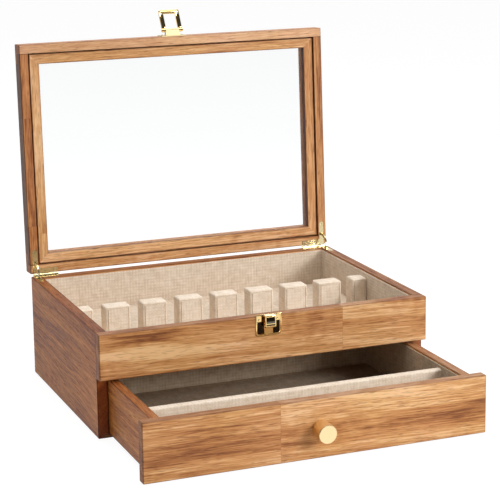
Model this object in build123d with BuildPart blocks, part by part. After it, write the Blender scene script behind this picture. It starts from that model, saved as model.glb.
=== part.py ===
from build123d import *
from math import hypot
import os

# Wooden silverware chest: a carcass with a linen-lined tray and slotted rack, a glazed lid on two
# quadrant hinges with a swing latch, and a lined drawer below.
#
# Lengths are in millimetres and angles in degrees. The origin is the middle of the carcass's
# underside; +X is to the right, -Y is the front and +Z is up. Every piece is drawn where it sits in
# the shut chest, on planes that its motion carries to where it stands at rest: lid swung open,
# drawer pulled out, latch loop thrown back. Right-hand pieces are drawn and left-hand ones mirrored.

# ---- Driving dimensions: boards ---------------------------------------------------------------
WIDTH = 390.0                # carcass and lid, left to right
DEPTH = 276.0                # carcass and lid, front to back
BODY_HEIGHT = 119.5          # carcass without the lid
BOARD = 12.0                 # thickness of the carcass boards and of the drawer front
EDGE_ROUND = 1.2             # sanded rounding of the outer edges
FRONT_PANEL_HEIGHT = 51.5    # panel above the drawer
TRAY_FLOOR_THICK = 5.0
BASE_THICK = 4.0
TONGUE = 4.0                 # how far a floor panel is housed in the boards around it
BASE_REBATE = 6.0            # how far the base board is let in under the boards

# ---- Driving dimensions: linen ----------------------------------------------------------------
LINING = 1.5                 # linen on card
LINING_DROP = 2.0            # bare wood above the upper edge of a lining
RACK_DEPTH = 20.0            # rack block, front to back
RACK_HEIGHT = 38.0           # rack block, above the tray's lining
BLOCK_WIDTH = 30.0
END_BLOCK_WIDTH = 19.7       # narrower blocks against the two side linings
FULL_BLOCKS = 7              # an odd number: one block stands in the middle
BLOCK_ROUND = 2.2            # softened edges of a rack block
DIVIDER_THICK = 10.0
DIVIDER_HEIGHT = 47.0        # above the drawer's lining
DIVIDER_SETBACK = 43.5       # clear width in front of the divider, lining not counted
DIVIDER_ROUND = 1.8

# ---- Driving dimensions: lid ------------------------------------------------------------------
LID_THICK = 20.0
LID_GAP = 0.5                # between the shut lid and the carcass
RIM_WALL = 10.5              # full-thickness part of the lid's frame
LIP_WIDTH = 13.5             # thinner part that the glass lies on
REBATE_DEPTH = 9.5           # from the lid's underside to the lip
GLASS_THICK = 2.5
GLASS_LAP = 11.0             # how far the glass reaches over the lip
BEAD_WIDTH = 12.0
BEAD_SINK = 1.7              # bead below the face of the frame
BEAD_ROUND = 0.9

# ---- Driving dimensions: quadrant hinges ------------------------------------------------------
LEAF_THICK = 1.5
LEAF_WIDTH = 6.0             # both legs of a leaf
LEAF_BACK = 30.6             # leg along the back, as long as the barrel
LEAF_SIDE = 29.0             # leg along the side, to its round end
LEAF_INSET = 3.4             # from the side of the chest to the leaf
LEAF_FIT = 0.1               # gap around a leaf in its seat
KNUCKLES = 3
KNUCKLE_RADIUS = 2.0
KNUCKLE_GAP = 0.3            # between neighbouring knuckles
KNUCKLE_CLEAR = 0.4          # between a knuckle and the other leaf's edge
HINGE_PIN_RADIUS = 0.9
PIN_FIT = 0.05               # running gap around a pin
STAY_RADIUS = 15.0           # middle of the curved stay, about the hinge axis
STAY_WIDTH = 3.0
STAY_THICK = 1.6
STAY_END = 14.0              # angle that the open stay reaches past the faces of the wood
STAY_HOOK = 1.7              # how far the hooked end stands out
STAY_HOOK_SPAN = 5.0         # angle that the hooked end takes up
STAY_CLEAR = 0.5             # around the stay, in the plane of its curve
STAY_SIDE_CLEAR = 0.3        # beside the stay
STAY_END_CLEAR = 3.0         # angle left past the stay's end in the shut chest

# ---- Driving dimensions: screws and nails -----------------------------------------------------
SCREW_HEAD_RADIUS = 1.9
SCREW_HEAD_DEPTH = 1.1
SCREW_RADIUS = 1.0
SCREW_LENGTH = 9.0
NAIL_HEAD_RADIUS = 1.3
NAIL_HEAD_HEIGHT = 0.6
NAIL_RADIUS = 0.6
NAIL_LENGTH = 8.0
FASTENER_FIT = 0.03          # gap around a screw or nail

# ---- Driving dimensions: latch ----------------------------------------------------------------
LATCH_PLATE = 1.0            # thickness of the latch and catch plates
LATCH_PLATE_WIDTH = 31.0
LATCH_PLATE_MARGIN = 0.5     # from the lid's upper face to the latch plate
LATCH_PLATE_GAP = 0.5        # between the two plates when the lid is shut
CATCH_PLATE_HEIGHT = 24.5
CATCH_RISE = 1.5             # how far the catch stands above the front panel
CATCH_CORNER = 3.5
LATCH_PIVOT_HEIGHT = 8.5     # above the lid's underside
LATCH_PIVOT_OUT = 6.0        # in front of the latch plate
LATCH_KNUCKLE_RADIUS = 2.2
LATCH_FOOT = 7.0             # width of the knuckle where it leaves the plate
LATCH_PIN_RADIUS = 1.0
LATCH_PIN_HEAD = 1.5
LATCH_PIN_HEAD_LENGTH = 0.6
LOOP_WINDOW = 18.0           # clear width inside the loop
LOOP_BAR = 4.0               # width of the loop's side bars
LOOP_END_BAR = 5.0           # width of the bar that the hook holds
LOOP_THICK = 2.0
LOOP_CORNER = 1.5
LOOP_ROUND = 0.5
LOOP_SIDE_CLEAR = 0.3
HOOK_WIDTH = 12.5
HOOK_HEIGHT = 14.0
HOOK_PROUD = 6.5             # from the catch plate to the hook's face
HOOK_THICK = 1.2
HOOK_BEND = 1.4              # bend radius at the middle of the metal
HOOK_LIP = 1.6               # how far its lower edge turns in
HOOK_CLEAR = 0.4             # between the swinging loop and the hook

# ---- Driving dimensions: drawer ---------------------------------------------------------------
DRAWER_SHUT_GAP = 0.3        # behind the drawer front when it is shut
DRAWER_FRONT_GAP = 1.5       # above and below the drawer front
DRAWER_BOARD = 10.5          # sides and back
DRAWER_SIDE_GAP = 1.0
DRAWER_TOP_GAP = 2.5
DRAWER_RUN_GAP = 0.3         # between the drawer and the board it slides on
DRAWER_BACK_GAP = 2.3
DRAWER_BOTTOM_THICK = 4.0
DRAWER_BOTTOM_RAISE = 3.0    # from the lower edge of the sides to the bottom
DRAWER_EDGE_ROUND = 0.8
KNOB_RADIUS = 10.0
KNOB_LENGTH = 19.0
KNOB_CHAMFER = 0.5
KNOB_HEIGHT = 33.0           # above the ground
KNOB_SCREW_RADIUS = 2.0
KNOB_SCREW_GRIP = 9.0        # length of thread in the knob
KNOB_SCREW_HEAD_RADIUS = 4.0
KNOB_SCREW_HEAD_LENGTH = 2.4
KNOB_SCREW_SINK = 3.0        # depth of the pocket for the head
KNOB_SCREW_HEAD_FIT = 0.4    # gap around the head in its pocket

# ---- Rest pose: how far each moving piece stands from the shut chest ----------------------------
LID_OPEN = 93.0
DRAWER_OUT = 141.0
LATCH_BACK = 117.0

# ---- Places that follow ----------------------------------------------------------------------------
FRONT = -DEPTH / 2
BACK = DEPTH / 2
INNER_HALF = WIDTH / 2 - BOARD
INNER_FRONT = FRONT + BOARD
INNER_BACK = BACK - BOARD
TRAY_FLOOR_BOTTOM = BODY_HEIGHT - FRONT_PANEL_HEIGHT
TRAY_FLOOR_TOP = TRAY_FLOOR_BOTTOM + TRAY_FLOOR_THICK
TRAY_LINING_TOP = BODY_HEIGHT - LINING_DROP

LID_BOTTOM = BODY_HEIGHT + LID_GAP
LID_TOP = LID_BOTTOM + LID_THICK
LIP_THICK = LID_THICK - REBATE_DEPTH
RIM_WIDTH = RIM_WALL + LIP_WIDTH
WINDOW_WIDTH = WIDTH - 2 * RIM_WIDTH
WINDOW_DEPTH = DEPTH - 2 * RIM_WIDTH
BEAD_THICK = REBATE_DEPTH - GLASS_THICK - BEAD_SINK

HINGE_Y = BACK + KNUCKLE_RADIUS
HINGE_Z = BODY_HEIGHT + LID_GAP / 2
LEAF_OUTER = WIDTH / 2 - LEAF_INSET
STAY_X = LEAF_OUTER - LEAF_WIDTH / 2
STAY_INNER = STAY_RADIUS - STAY_WIDTH / 2
STAY_OUTER = STAY_RADIUS + STAY_WIDTH / 2
STAY_REACH = LID_OPEN / 2 + STAY_END

CATCH_TOP = BODY_HEIGHT + CATCH_RISE
LATCH_Y = FRONT - LATCH_PLATE - LATCH_PIVOT_OUT
LATCH_Z = LID_BOTTOM + LATCH_PIVOT_HEIGHT
HOOK_FACE = FRONT - LATCH_PLATE - HOOK_PROUD
HOOK_BOTTOM = CATCH_TOP - HOOK_HEIGHT
LOOP_REACH = hypot(HOOK_FACE - LATCH_Y, HOOK_BOTTOM - LATCH_Z) + HOOK_CLEAR
LOOP_HALF = LOOP_WINDOW / 2 + LOOP_BAR

DRAWER_FACE = FRONT - DRAWER_SHUT_GAP
DRAWER_INNER_FRONT = DRAWER_FACE + BOARD
DRAWER_OUTER_BACK = INNER_BACK - DRAWER_BACK_GAP
DRAWER_INNER_BACK = DRAWER_OUTER_BACK - DRAWER_BOARD
DRAWER_OUTER_HALF = INNER_HALF - DRAWER_SIDE_GAP
DRAWER_INNER_HALF = DRAWER_OUTER_HALF - DRAWER_BOARD
DRAWER_LOW = BASE_THICK + DRAWER_RUN_GAP
DRAWER_HIGH = TRAY_FLOOR_BOTTOM - DRAWER_TOP_GAP
DRAWER_FLOOR = DRAWER_LOW + DRAWER_BOTTOM_RAISE + DRAWER_BOTTOM_THICK
DRAWER_LINING_TOP = DRAWER_HIGH - LINING_DROP


# ---- Motions that carry a piece from the shut chest to its rest ---------------------------------
def swing(y, z, angle):
    """Turn about the line along X through (y, z); a positive angle shuts what it turns."""
    return Pos(0, y, z) * Rot(angle, 0, 0) * Pos(0, -y, -z)


STILL = Pos(0, 0, 0)
LID = swing(HINGE_Y, HINGE_Z, -LID_OPEN)
STAY = swing(HINGE_Y, HINGE_Z, -LID_OPEN / 2)
LOOP = LID * swing(LATCH_Y, LATCH_Z, -LATCH_BACK)
DRAWER = Pos(0, -DRAWER_OUT, 0)


def carried(motion, plane):
    """Plane of the shut chest, moved along with the piece that is drawn on it."""
    return Plane(motion * plane.location)


def at_height(motion, z):
    """Level plane of the shut chest, carried by a motion."""
    return carried(motion, Plane.XY.offset(z))


def facing_front(motion, y):
    """Upright plane of the shut chest that faces the front, carried by a motion."""
    return carried(motion, Plane.XZ.offset(-y))


def facing_right(motion, x):
    """Upright plane of the shut chest that faces right, with Y and Z in it, carried by a motion."""
    return carried(motion, Plane.YZ.offset(x))


def upward(motion):
    """The shut chest's upward direction as an axis, carried by a motion."""
    return Axis(motion.position, at_height(motion, 0).z_dir)


pieces = {}


def keep(name, part):
    """Name a finished piece and put it on the list of pieces."""
    part.label = name
    pieces[name] = part


def keep_pair(name, right_part):
    """Keep a right-hand piece and its mirrored left-hand twin."""
    with BuildPart() as left_part:
        mirror(right_part, about=Plane.YZ)
    keep(name.replace("SIDE", "right"), right_part)
    keep(name.replace("SIDE", "left"), left_part.part)


# ---- Carcass ---------------------------------------------------------------------------------------
# The glued-up carcass has its outer edges sanded round, so each board is trimmed to this outline.
with BuildPart() as body_outline:
    with BuildSketch():
        Rectangle(WIDTH, DEPTH)
    extrude(amount=BODY_HEIGHT)
    fillet(body_outline.edges(), EDGE_ROUND)


def housed_panel(z, thickness, tongue):
    """Floor panel between the boards, let into the sides and the back by its tongue."""
    with BuildPart() as panel:
        with BuildSketch(Plane.XY.offset(z)):
            with Locations((0, INNER_FRONT)):
                Rectangle(
                    2 * (INNER_HALF + tongue),
                    INNER_BACK - INNER_FRONT + tongue,
                    align=(Align.CENTER, Align.MIN),
                )
        extrude(amount=thickness)
    return panel.part


tray_floor = housed_panel(TRAY_FLOOR_BOTTOM, TRAY_FLOOR_THICK, TONGUE)
base_board = housed_panel(0, BASE_THICK, BASE_REBATE)
keep("tray_floor", tray_floor)
keep("base_board", base_board)


# ---- Quadrant hinges: one leaf in the carcass, one in the lid, a curved stay between them -------------
# The wood lies below the carcass's leaf (into = -1) and above the shut lid's leaf (into = 1).
KNUCKLE_PITCH = LEAF_BACK / KNUCKLES
BARREL_START = LEAF_OUTER - LEAF_BACK
HINGE_SCREW_PLACES = [
    (BARREL_START + LEAF_WIDTH, BACK - LEAF_WIDTH / 2),
    (STAY_X - 2 * LEAF_WIDTH, BACK - LEAF_WIDTH / 2),
    (STAY_X, BACK - LEAF_SIDE + LEAF_WIDTH / 2),
]


def ring_sector(inner, outer, start, end):
    """Outline of the part of a ring between two angles, drawn in the current BuildLine."""
    rays = [Vector(1, 0).rotate(Axis.Z, angle) for angle in (start, end)]
    CenterArc((0, 0), inner, start, end - start)
    CenterArc((0, 0), outer, start, end - start)
    for ray in rays:
        Line(ray * inner, ray * outer)


def stay_plane(motion):
    """Plane of the right-hand stay about the hinge axis; 0 degrees points at the front, 90 up."""
    about_axis = Plane(origin=(STAY_X, HINGE_Y, HINGE_Z), x_dir=(0, -1, 0), z_dir=(-1, 0, 0))
    return carried(motion, about_axis)


def leaf_plan():
    """Plan of a leaf in the right-hand back corner, drawn in the current BuildSketch."""
    with Locations((LEAF_OUTER, BACK)):
        Rectangle(LEAF_BACK, LEAF_WIDTH, align=Align.MAX)
        Rectangle(LEAF_WIDTH, LEAF_SIDE - LEAF_WIDTH / 2, align=Align.MAX)
    with Locations((STAY_X, BACK - LEAF_SIDE + LEAF_WIDTH / 2)):
        Circle(LEAF_WIDTH / 2)


def hinge_screws(motion, face, into, spare=0.0):
    """Countersunk screws of the right-hand leaf whose outer face is at height face."""
    with BuildPart() as screws:
        for x, y in HINGE_SCREW_PLACES:
            with Locations(carried(motion, Plane(origin=(x, y, face), z_dir=(0, 0, -into)))):
                Cone(
                    SCREW_RADIUS + spare,
                    SCREW_HEAD_RADIUS + spare,
                    SCREW_HEAD_DEPTH,
                    align=(Align.CENTER, Align.CENTER, Align.MAX),
                )
                Cylinder(
                    SCREW_RADIUS + spare,
                    SCREW_LENGTH + spare,
                    align=(Align.CENTER, Align.CENTER, Align.MAX),
                )
    return screws.part


def hinge_seat(motion, face, into):
    """Wood cut away in the right-hand corner: leaf recess, curved mortise and screw holes."""
    mortise_end = into * (STAY_REACH + STAY_END_CLEAR)
    with BuildPart() as seat:
        with BuildSketch(at_height(motion, face)):
            leaf_plan()
            offset(amount=LEAF_FIT, kind=Kind.INTERSECTION)
        extrude(amount=into * LEAF_THICK)
        with BuildSketch(stay_plane(motion)):
            with BuildLine():
                ring_sector(
                    STAY_INNER - STAY_CLEAR, STAY_OUTER + STAY_HOOK + STAY_CLEAR, 0, mortise_end
                )
            make_face()
        extrude(amount=STAY_THICK / 2 + STAY_SIDE_CLEAR, both=True)
        add(hinge_screws(motion, face, into, FASTENER_FIT))
    return seat.part


def hinge_leaf(motion, face, into, first_knuckle):
    """Right-hand leaf with every second knuckle of the barrel, from first_knuckle on."""
    with BuildPart() as leaf:
        with BuildSketch(at_height(motion, face)):
            leaf_plan()
        extrude(amount=into * LEAF_THICK)
        # the back edge is hollowed to let the other leaf's knuckles turn
        with BuildSketch(facing_right(motion, BARREL_START)):
            with Locations((HINGE_Y, HINGE_Z)):
                Circle(KNUCKLE_RADIUS + KNUCKLE_CLEAR)
        extrude(amount=LEAF_BACK, mode=Mode.SUBTRACT)
        for number in range(first_knuckle, KNUCKLES, 2):
            start = BARREL_START + number * KNUCKLE_PITCH + KNUCKLE_GAP / 2
            with BuildSketch(facing_right(motion, start)):
                with Locations((HINGE_Y, HINGE_Z)):
                    Circle(KNUCKLE_RADIUS)
                with Locations((HINGE_Y, face)):
                    Rectangle(
                        KNUCKLE_RADIUS + LEAF_WIDTH / 2,
                        LEAF_THICK,
                        align=(Align.MAX, Align.MIN if into > 0 else Align.MAX),
                    )
            extrude(amount=KNUCKLE_PITCH - KNUCKLE_GAP)
        with BuildSketch(facing_right(motion, BARREL_START)):
            with Locations((HINGE_Y, HINGE_Z)):
                Circle(HINGE_PIN_RADIUS + PIN_FIT)
        extrude(amount=LEAF_BACK, mode=Mode.SUBTRACT)
        # slot for the stay
        with BuildSketch(at_height(motion, face)):
            with Locations((STAY_X, HINGE_Y - STAY_RADIUS)):
                Rectangle(STAY_THICK + 2 * STAY_SIDE_CLEAR, STAY_WIDTH + 2 * STAY_CLEAR)
        extrude(amount=into * LEAF_THICK, mode=Mode.SUBTRACT)
        add(hinge_screws(motion, face, into, FASTENER_FIT), mode=Mode.SUBTRACT)
    return leaf.part


body_seat = hinge_seat(STILL, BODY_HEIGHT, -1)
lid_seat = hinge_seat(LID, LID_BOTTOM, 1)
keep_pair("hinge_body_leaf_SIDE", hinge_leaf(STILL, BODY_HEIGHT, -1, first_knuckle=0))
keep_pair("hinge_lid_leaf_SIDE", hinge_leaf(LID, LID_BOTTOM, 1, first_knuckle=1))

with BuildPart() as hinge_pin:
    with BuildSketch(facing_right(STILL, BARREL_START)):
        with Locations((HINGE_Y, HINGE_Z)):
            Circle(HINGE_PIN_RADIUS)
    extrude(amount=LEAF_BACK)
keep_pair("hinge_pin_SIDE", hinge_pin.part)

# The hooked ends of the stay stand out under the leaves, so they stop the lid at its open limit.
with BuildPart() as stay:
    with BuildSketch(stay_plane(STAY)):
        with BuildLine():
            ring_sector(STAY_INNER, STAY_OUTER, -STAY_REACH, STAY_REACH)
        make_face()
        for end in (-1, 1):
            with BuildLine():
                ring_sector(
                    STAY_RADIUS,
                    STAY_OUTER + STAY_HOOK,
                    end * (STAY_REACH - STAY_HOOK_SPAN),
                    end * STAY_REACH,
                )
            make_face()
    extrude(amount=STAY_THICK / 2, both=True)
keep_pair("hinge_stay_SIDE", stay.part)


def both_corners(right_part):
    """A right-hand corner's solids together with their mirror images."""
    with BuildPart() as corners:
        add(right_part)
        mirror(right_part, about=Plane.YZ)
    return corners.part


keep("hinge_body_screws", both_corners(hinge_screws(STILL, BODY_HEIGHT, -1)))
keep("hinge_lid_screws", both_corners(hinge_screws(LID, LID_BOTTOM, 1)))

# ---- Carcass boards ----------------------------------------------------------------------------------
with BuildPart() as side_board:
    with BuildSketch():
        with Locations((WIDTH / 2, BACK)):
            Rectangle(BOARD, DEPTH - BOARD, align=Align.MAX)
    extrude(amount=BODY_HEIGHT)
    add(body_outline.part, mode=Mode.INTERSECT)
    add([tray_floor, base_board, body_seat], mode=Mode.SUBTRACT)
keep_pair("side_SIDE", side_board.part)

with BuildPart() as back_panel:
    with BuildSketch():
        with Locations((0, BACK)):
            Rectangle(2 * INNER_HALF, BOARD, align=(Align.CENTER, Align.MAX))
    extrude(amount=BODY_HEIGHT)
    add(body_outline.part, mode=Mode.INTERSECT)
    add([tray_floor, base_board, both_corners(body_seat)], mode=Mode.SUBTRACT)
keep("back_panel", back_panel.part)


def nails(motion, places, spare=0.0):
    """Dome-headed nails through a plate on the front, each at its (x, z) place."""
    with BuildPart() as group:
        for x, z in places:
            with Locations(carried(motion, Plane(origin=(x, FRONT - LATCH_PLATE, z), z_dir=(0, -1, 0)))):
                Cylinder(
                    NAIL_RADIUS + spare,
                    NAIL_LENGTH + spare,
                    align=(Align.CENTER, Align.CENTER, Align.MAX),
                )
                Cone(
                    NAIL_HEAD_RADIUS,
                    NAIL_HEAD_RADIUS / 2,
                    NAIL_HEAD_HEIGHT,
                    align=(Align.CENTER, Align.CENTER, Align.MIN),
                )
    return group.part


CATCH_NAIL_X = (HOOK_WIDTH + LATCH_PLATE_WIDTH) / 4
catch_nail_places = [(side * CATCH_NAIL_X, CATCH_TOP - CATCH_PLATE_HEIGHT / 4) for side in (-1, 1)]
keep("catch_nails", nails(STILL, catch_nail_places))

with BuildPart() as front_panel:
    with BuildSketch(Plane.XY.offset(TRAY_FLOOR_BOTTOM)):
        with Locations((0, FRONT)):
            Rectangle(WIDTH, BOARD, align=(Align.CENTER, Align.MIN))
    extrude(amount=FRONT_PANEL_HEIGHT)
    lower_front_edge = front_panel.edges().group_by(Axis.Z)[0].group_by(Axis.Y)[0]
    fillet(lower_front_edge, EDGE_ROUND)
    add(body_outline.part, mode=Mode.INTERSECT)
    add(nails(STILL, catch_nail_places, FASTENER_FIT), mode=Mode.SUBTRACT)
keep("front_panel", front_panel.part)

# ---- Tray: linen lining and rack -----------------------------------------------------------------------
with BuildPart() as tray_lining_floor:
    with BuildSketch(Plane.XY.offset(TRAY_FLOOR_TOP)):
        Rectangle(2 * INNER_HALF, INNER_BACK - INNER_FRONT)
    extrude(amount=LINING)
keep("tray_lining_floor", tray_lining_floor.part)

TRAY_LINED_FLOOR = TRAY_FLOOR_TOP + LINING


def upright_lining(motion, floor, top, x, y, width, depth):
    """Lining that stands on a lined floor, with one corner at (x, y) and a width and depth from it."""
    with BuildPart() as lining:
        with BuildSketch(at_height(motion, floor)):
            with Locations((x, y)):
                Rectangle(width, depth, align=Align.MIN)
        extrude(amount=top - floor)
    return lining.part


def line_box(prefix, motion, floor, top, half_width, front, back):
    """The four upright linings of a box: front and back full width, the sides between them."""
    keep(
        prefix + "_front",
        upright_lining(motion, floor, top, -half_width, front, 2 * half_width, LINING),
    )
    keep(
        prefix + "_back",
        upright_lining(motion, floor, top, -half_width, back - LINING, 2 * half_width, LINING),
    )
    side = upright_lining(
        motion, floor, top, half_width - LINING, front + LINING, LINING, back - front - 2 * LINING
    )
    keep_pair(prefix + "_SIDE", side)


line_box("tray_lining", STILL, TRAY_LINED_FLOOR, TRAY_LINING_TOP, INNER_HALF, INNER_FRONT, INNER_BACK)

# The slots share evenly what the blocks leave of the rack's length.
RACK_END = INNER_HALF - LINING
SLOT_WIDTH = (2 * (RACK_END - END_BLOCK_WIDTH) - FULL_BLOCKS * BLOCK_WIDTH) / (FULL_BLOCKS + 1)
RACK_PITCH = BLOCK_WIDTH + SLOT_WIDTH


def rack_block(x, width):
    """Linen-covered block on the tray's lining, centred on x."""
    with BuildPart() as block:
        with BuildSketch(Plane.XY.offset(TRAY_LINED_FLOOR)):
            with Locations((x, 0)):
                Rectangle(width, RACK_DEPTH)
        extrude(amount=RACK_HEIGHT)
        standing_on = block.edges().group_by(Axis.Z)[0]
        fillet(block.edges() - standing_on, BLOCK_ROUND)
    return block.part


full_block_places = [(number - (FULL_BLOCKS - 1) / 2) * RACK_PITCH for number in range(FULL_BLOCKS)]
end_block_place = RACK_END - END_BLOCK_WIDTH / 2
rack = (
    [(-end_block_place, END_BLOCK_WIDTH)]
    + [(x, BLOCK_WIDTH) for x in full_block_places]
    + [(end_block_place, END_BLOCK_WIDTH)]
)
for number, (x, width) in enumerate(rack, start=1):
    keep(f"rack_block_{number}", rack_block(x, width))

# ---- Lid -----------------------------------------------------------------------------------------------
# The glued-up frame has its outer edges and the edges of its window sanded round.
with BuildPart() as lid_outline:
    with BuildSketch(at_height(LID, LID_BOTTOM)):
        Rectangle(WIDTH, DEPTH)
        Rectangle(WINDOW_WIDTH, WINDOW_DEPTH, mode=Mode.SUBTRACT)
    extrude(amount=LID_THICK)
    fillet(lid_outline.edges(), EDGE_ROUND)


def lid_rail(end):
    """Front (end = -1) or back (end = 1) rail, as wide as the lid."""
    with BuildPart() as rail:
        with BuildSketch(at_height(LID, LID_BOTTOM)):
            with Locations((0, end * (DEPTH - RIM_WALL) / 2)):
                Rectangle(WIDTH, RIM_WALL)
        extrude(amount=LID_THICK)
        with BuildSketch(at_height(LID, LID_TOP)):
            with Locations((0, end * (DEPTH - RIM_WIDTH) / 2)):
                Rectangle(WIDTH, RIM_WIDTH)
        extrude(amount=-LIP_THICK)
        add(lid_outline.part, mode=Mode.INTERSECT)
    return rail.part


with BuildPart() as lid_rail_back:
    add(lid_rail(1))
    add(both_corners(lid_seat), mode=Mode.SUBTRACT)
keep("lid_rail_back", lid_rail_back.part)

# The stile's wall runs on under the lips of the rails, to their walls.
with BuildPart() as lid_stile:
    with BuildSketch(at_height(LID, LID_BOTTOM)):
        with Locations(((WIDTH - RIM_WALL) / 2, 0)):
            Rectangle(RIM_WALL, DEPTH - 2 * RIM_WALL)
    extrude(amount=REBATE_DEPTH)
    with BuildSketch(at_height(LID, LID_TOP)):
        with Locations(((WIDTH - RIM_WIDTH) / 2, 0)):
            Rectangle(RIM_WIDTH, WINDOW_DEPTH)
    extrude(amount=-LIP_THICK)
    add(lid_outline.part, mode=Mode.INTERSECT)
    add(lid_seat, mode=Mode.SUBTRACT)
keep_pair("lid_stile_SIDE", lid_stile.part)

with BuildPart() as glass_pane:
    with BuildSketch(at_height(LID, LID_BOTTOM + REBATE_DEPTH)):
        Rectangle(WINDOW_WIDTH + 2 * GLASS_LAP, WINDOW_DEPTH + 2 * GLASS_LAP)
    extrude(amount=-GLASS_THICK)
keep("glass_pane", glass_pane.part)

# All four beads are cut from one moulded ring, so that their rounded edges meet at the mitres.
with BuildPart() as bead_ring:
    with BuildSketch(at_height(LID, LID_BOTTOM + BEAD_SINK)):
        Rectangle(WINDOW_WIDTH + 2 * BEAD_WIDTH, WINDOW_DEPTH + 2 * BEAD_WIDTH)
        Rectangle(WINDOW_WIDTH, WINDOW_DEPTH, mode=Mode.SUBTRACT)
    extrude(amount=BEAD_THICK)
    fillet(bead_ring.edges().group_by(upward(LID))[0], BEAD_ROUND)


def glazing_bead(half_length, from_middle, turn):
    """Mitred bead; turn 0 is the back one, and a positive turn goes anticlockwise from above."""
    far = from_middle + BEAD_WIDTH
    with BuildPart() as bead:
        with BuildSketch(carried(LID, Plane.XY.offset(LID_BOTTOM).rotated((0, 0, turn)))):
            Polygon(
                (-half_length, from_middle),
                (half_length, from_middle),
                (half_length + BEAD_WIDTH, far),
                (-half_length - BEAD_WIDTH, far),
                align=None,
            )
        extrude(amount=REBATE_DEPTH)
        add(bead_ring.part, mode=Mode.INTERSECT)
    return bead.part


keep("glazing_bead_back", glazing_bead(WINDOW_WIDTH / 2, WINDOW_DEPTH / 2, 0))
keep("glazing_bead_left", glazing_bead(WINDOW_DEPTH / 2, WINDOW_WIDTH / 2, 90))
keep("glazing_bead_front", glazing_bead(WINDOW_WIDTH / 2, WINDOW_DEPTH / 2, 180))
keep("glazing_bead_right", glazing_bead(WINDOW_DEPTH / 2, WINDOW_WIDTH / 2, 270))

# ---- Latch ---------------------------------------------------------------------------------------------
with BuildPart() as catch_plate:
    with BuildSketch(facing_front(STILL, FRONT)) as catch_plan:
        with Locations((0, CATCH_TOP)):
            Rectangle(LATCH_PLATE_WIDTH, CATCH_PLATE_HEIGHT, align=(Align.CENTER, Align.MAX))
        fillet(catch_plan.vertices().group_by(Axis.Y)[0], CATCH_CORNER)
    extrude(amount=LATCH_PLATE)
    # bent tab: out from the plate's upper edge, down, and its lower edge turned in
    with BuildSketch(facing_right(STILL, -HOOK_WIDTH / 2)):
        with BuildLine():
            FilletPolyline(
                (FRONT - LATCH_PLATE / 2, CATCH_TOP - HOOK_THICK / 2),
                (HOOK_FACE + HOOK_THICK / 2, CATCH_TOP - HOOK_THICK / 2),
                (HOOK_FACE + HOOK_THICK / 2, HOOK_BOTTOM + HOOK_THICK / 2),
                (HOOK_FACE + HOOK_THICK / 2 + HOOK_LIP, HOOK_BOTTOM + HOOK_THICK / 2),
                radius=HOOK_BEND,
            )
        trace(line_width=HOOK_THICK)
    extrude(amount=HOOK_WIDTH)
    add(nails(STILL, catch_nail_places, FASTENER_FIT), mode=Mode.SUBTRACT)
keep("catch_plate", catch_plate.part)

LATCH_PLATE_TOP = LID_TOP - LATCH_PLATE_MARGIN
LATCH_PLATE_HEIGHT = LATCH_PLATE_TOP - LATCH_PLATE_GAP - CATCH_TOP
LATCH_NAIL_Z = (LATCH_Z + LATCH_KNUCKLE_RADIUS + LATCH_PLATE_TOP) / 2
latch_nail_places = [(side * CATCH_NAIL_X, LATCH_NAIL_Z) for side in (-1, 1)]
LATCH_KNUCKLE_LENGTH = LOOP_WINDOW - 2 * LOOP_SIDE_CLEAR

with BuildPart() as latch_plate:
    with BuildSketch(facing_front(LID, FRONT)):
        with Locations((0, LATCH_PLATE_TOP)):
            Rectangle(LATCH_PLATE_WIDTH, LATCH_PLATE_HEIGHT, align=(Align.CENTER, Align.MAX))
    extrude(amount=LATCH_PLATE)
    with BuildSketch(facing_right(LID, -LATCH_KNUCKLE_LENGTH / 2)) as knuckle_profile:
        with Locations((LATCH_Y, LATCH_Z)):
            Circle(LATCH_KNUCKLE_RADIUS)
        with Locations((FRONT - LATCH_PLATE / 2, LATCH_Z)):
            Rectangle(LATCH_PLATE, LATCH_FOOT)
        make_hull(knuckle_profile.edges())
    extrude(amount=LATCH_KNUCKLE_LENGTH)
    with BuildSketch(facing_right(LID, -LATCH_KNUCKLE_LENGTH / 2)):
        with Locations((LATCH_Y, LATCH_Z)):
            Circle(LATCH_PIN_RADIUS + PIN_FIT)
    extrude(amount=LATCH_KNUCKLE_LENGTH, mode=Mode.SUBTRACT)
    add(nails(LID, latch_nail_places, FASTENER_FIT), mode=Mode.SUBTRACT)
keep("latch_plate", latch_plate.part)
keep("latch_nails", nails(LID, latch_nail_places))

with BuildPart() as lid_rail_front:
    add(lid_rail(-1))
    add(nails(LID, latch_nail_places, FASTENER_FIT), mode=Mode.SUBTRACT)
keep("lid_rail_front", lid_rail_front.part)

LATCH_PIN_HALF = LOOP_HALF + LOOP_SIDE_CLEAR
with BuildPart() as latch_pin:
    with BuildSketch(facing_right(LID, 0)):
        with Locations((LATCH_Y, LATCH_Z)):
            Circle(LATCH_PIN_RADIUS)
    extrude(amount=LATCH_PIN_HALF, both=True)
    for side in (-1, 1):
        with BuildSketch(facing_right(LID, side * LATCH_PIN_HALF)):
            with Locations((LATCH_Y, LATCH_Z)):
                Circle(LATCH_PIN_HEAD)
        extrude(amount=side * LATCH_PIN_HEAD_LENGTH)
keep("latch_pin", latch_pin.part)

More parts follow.
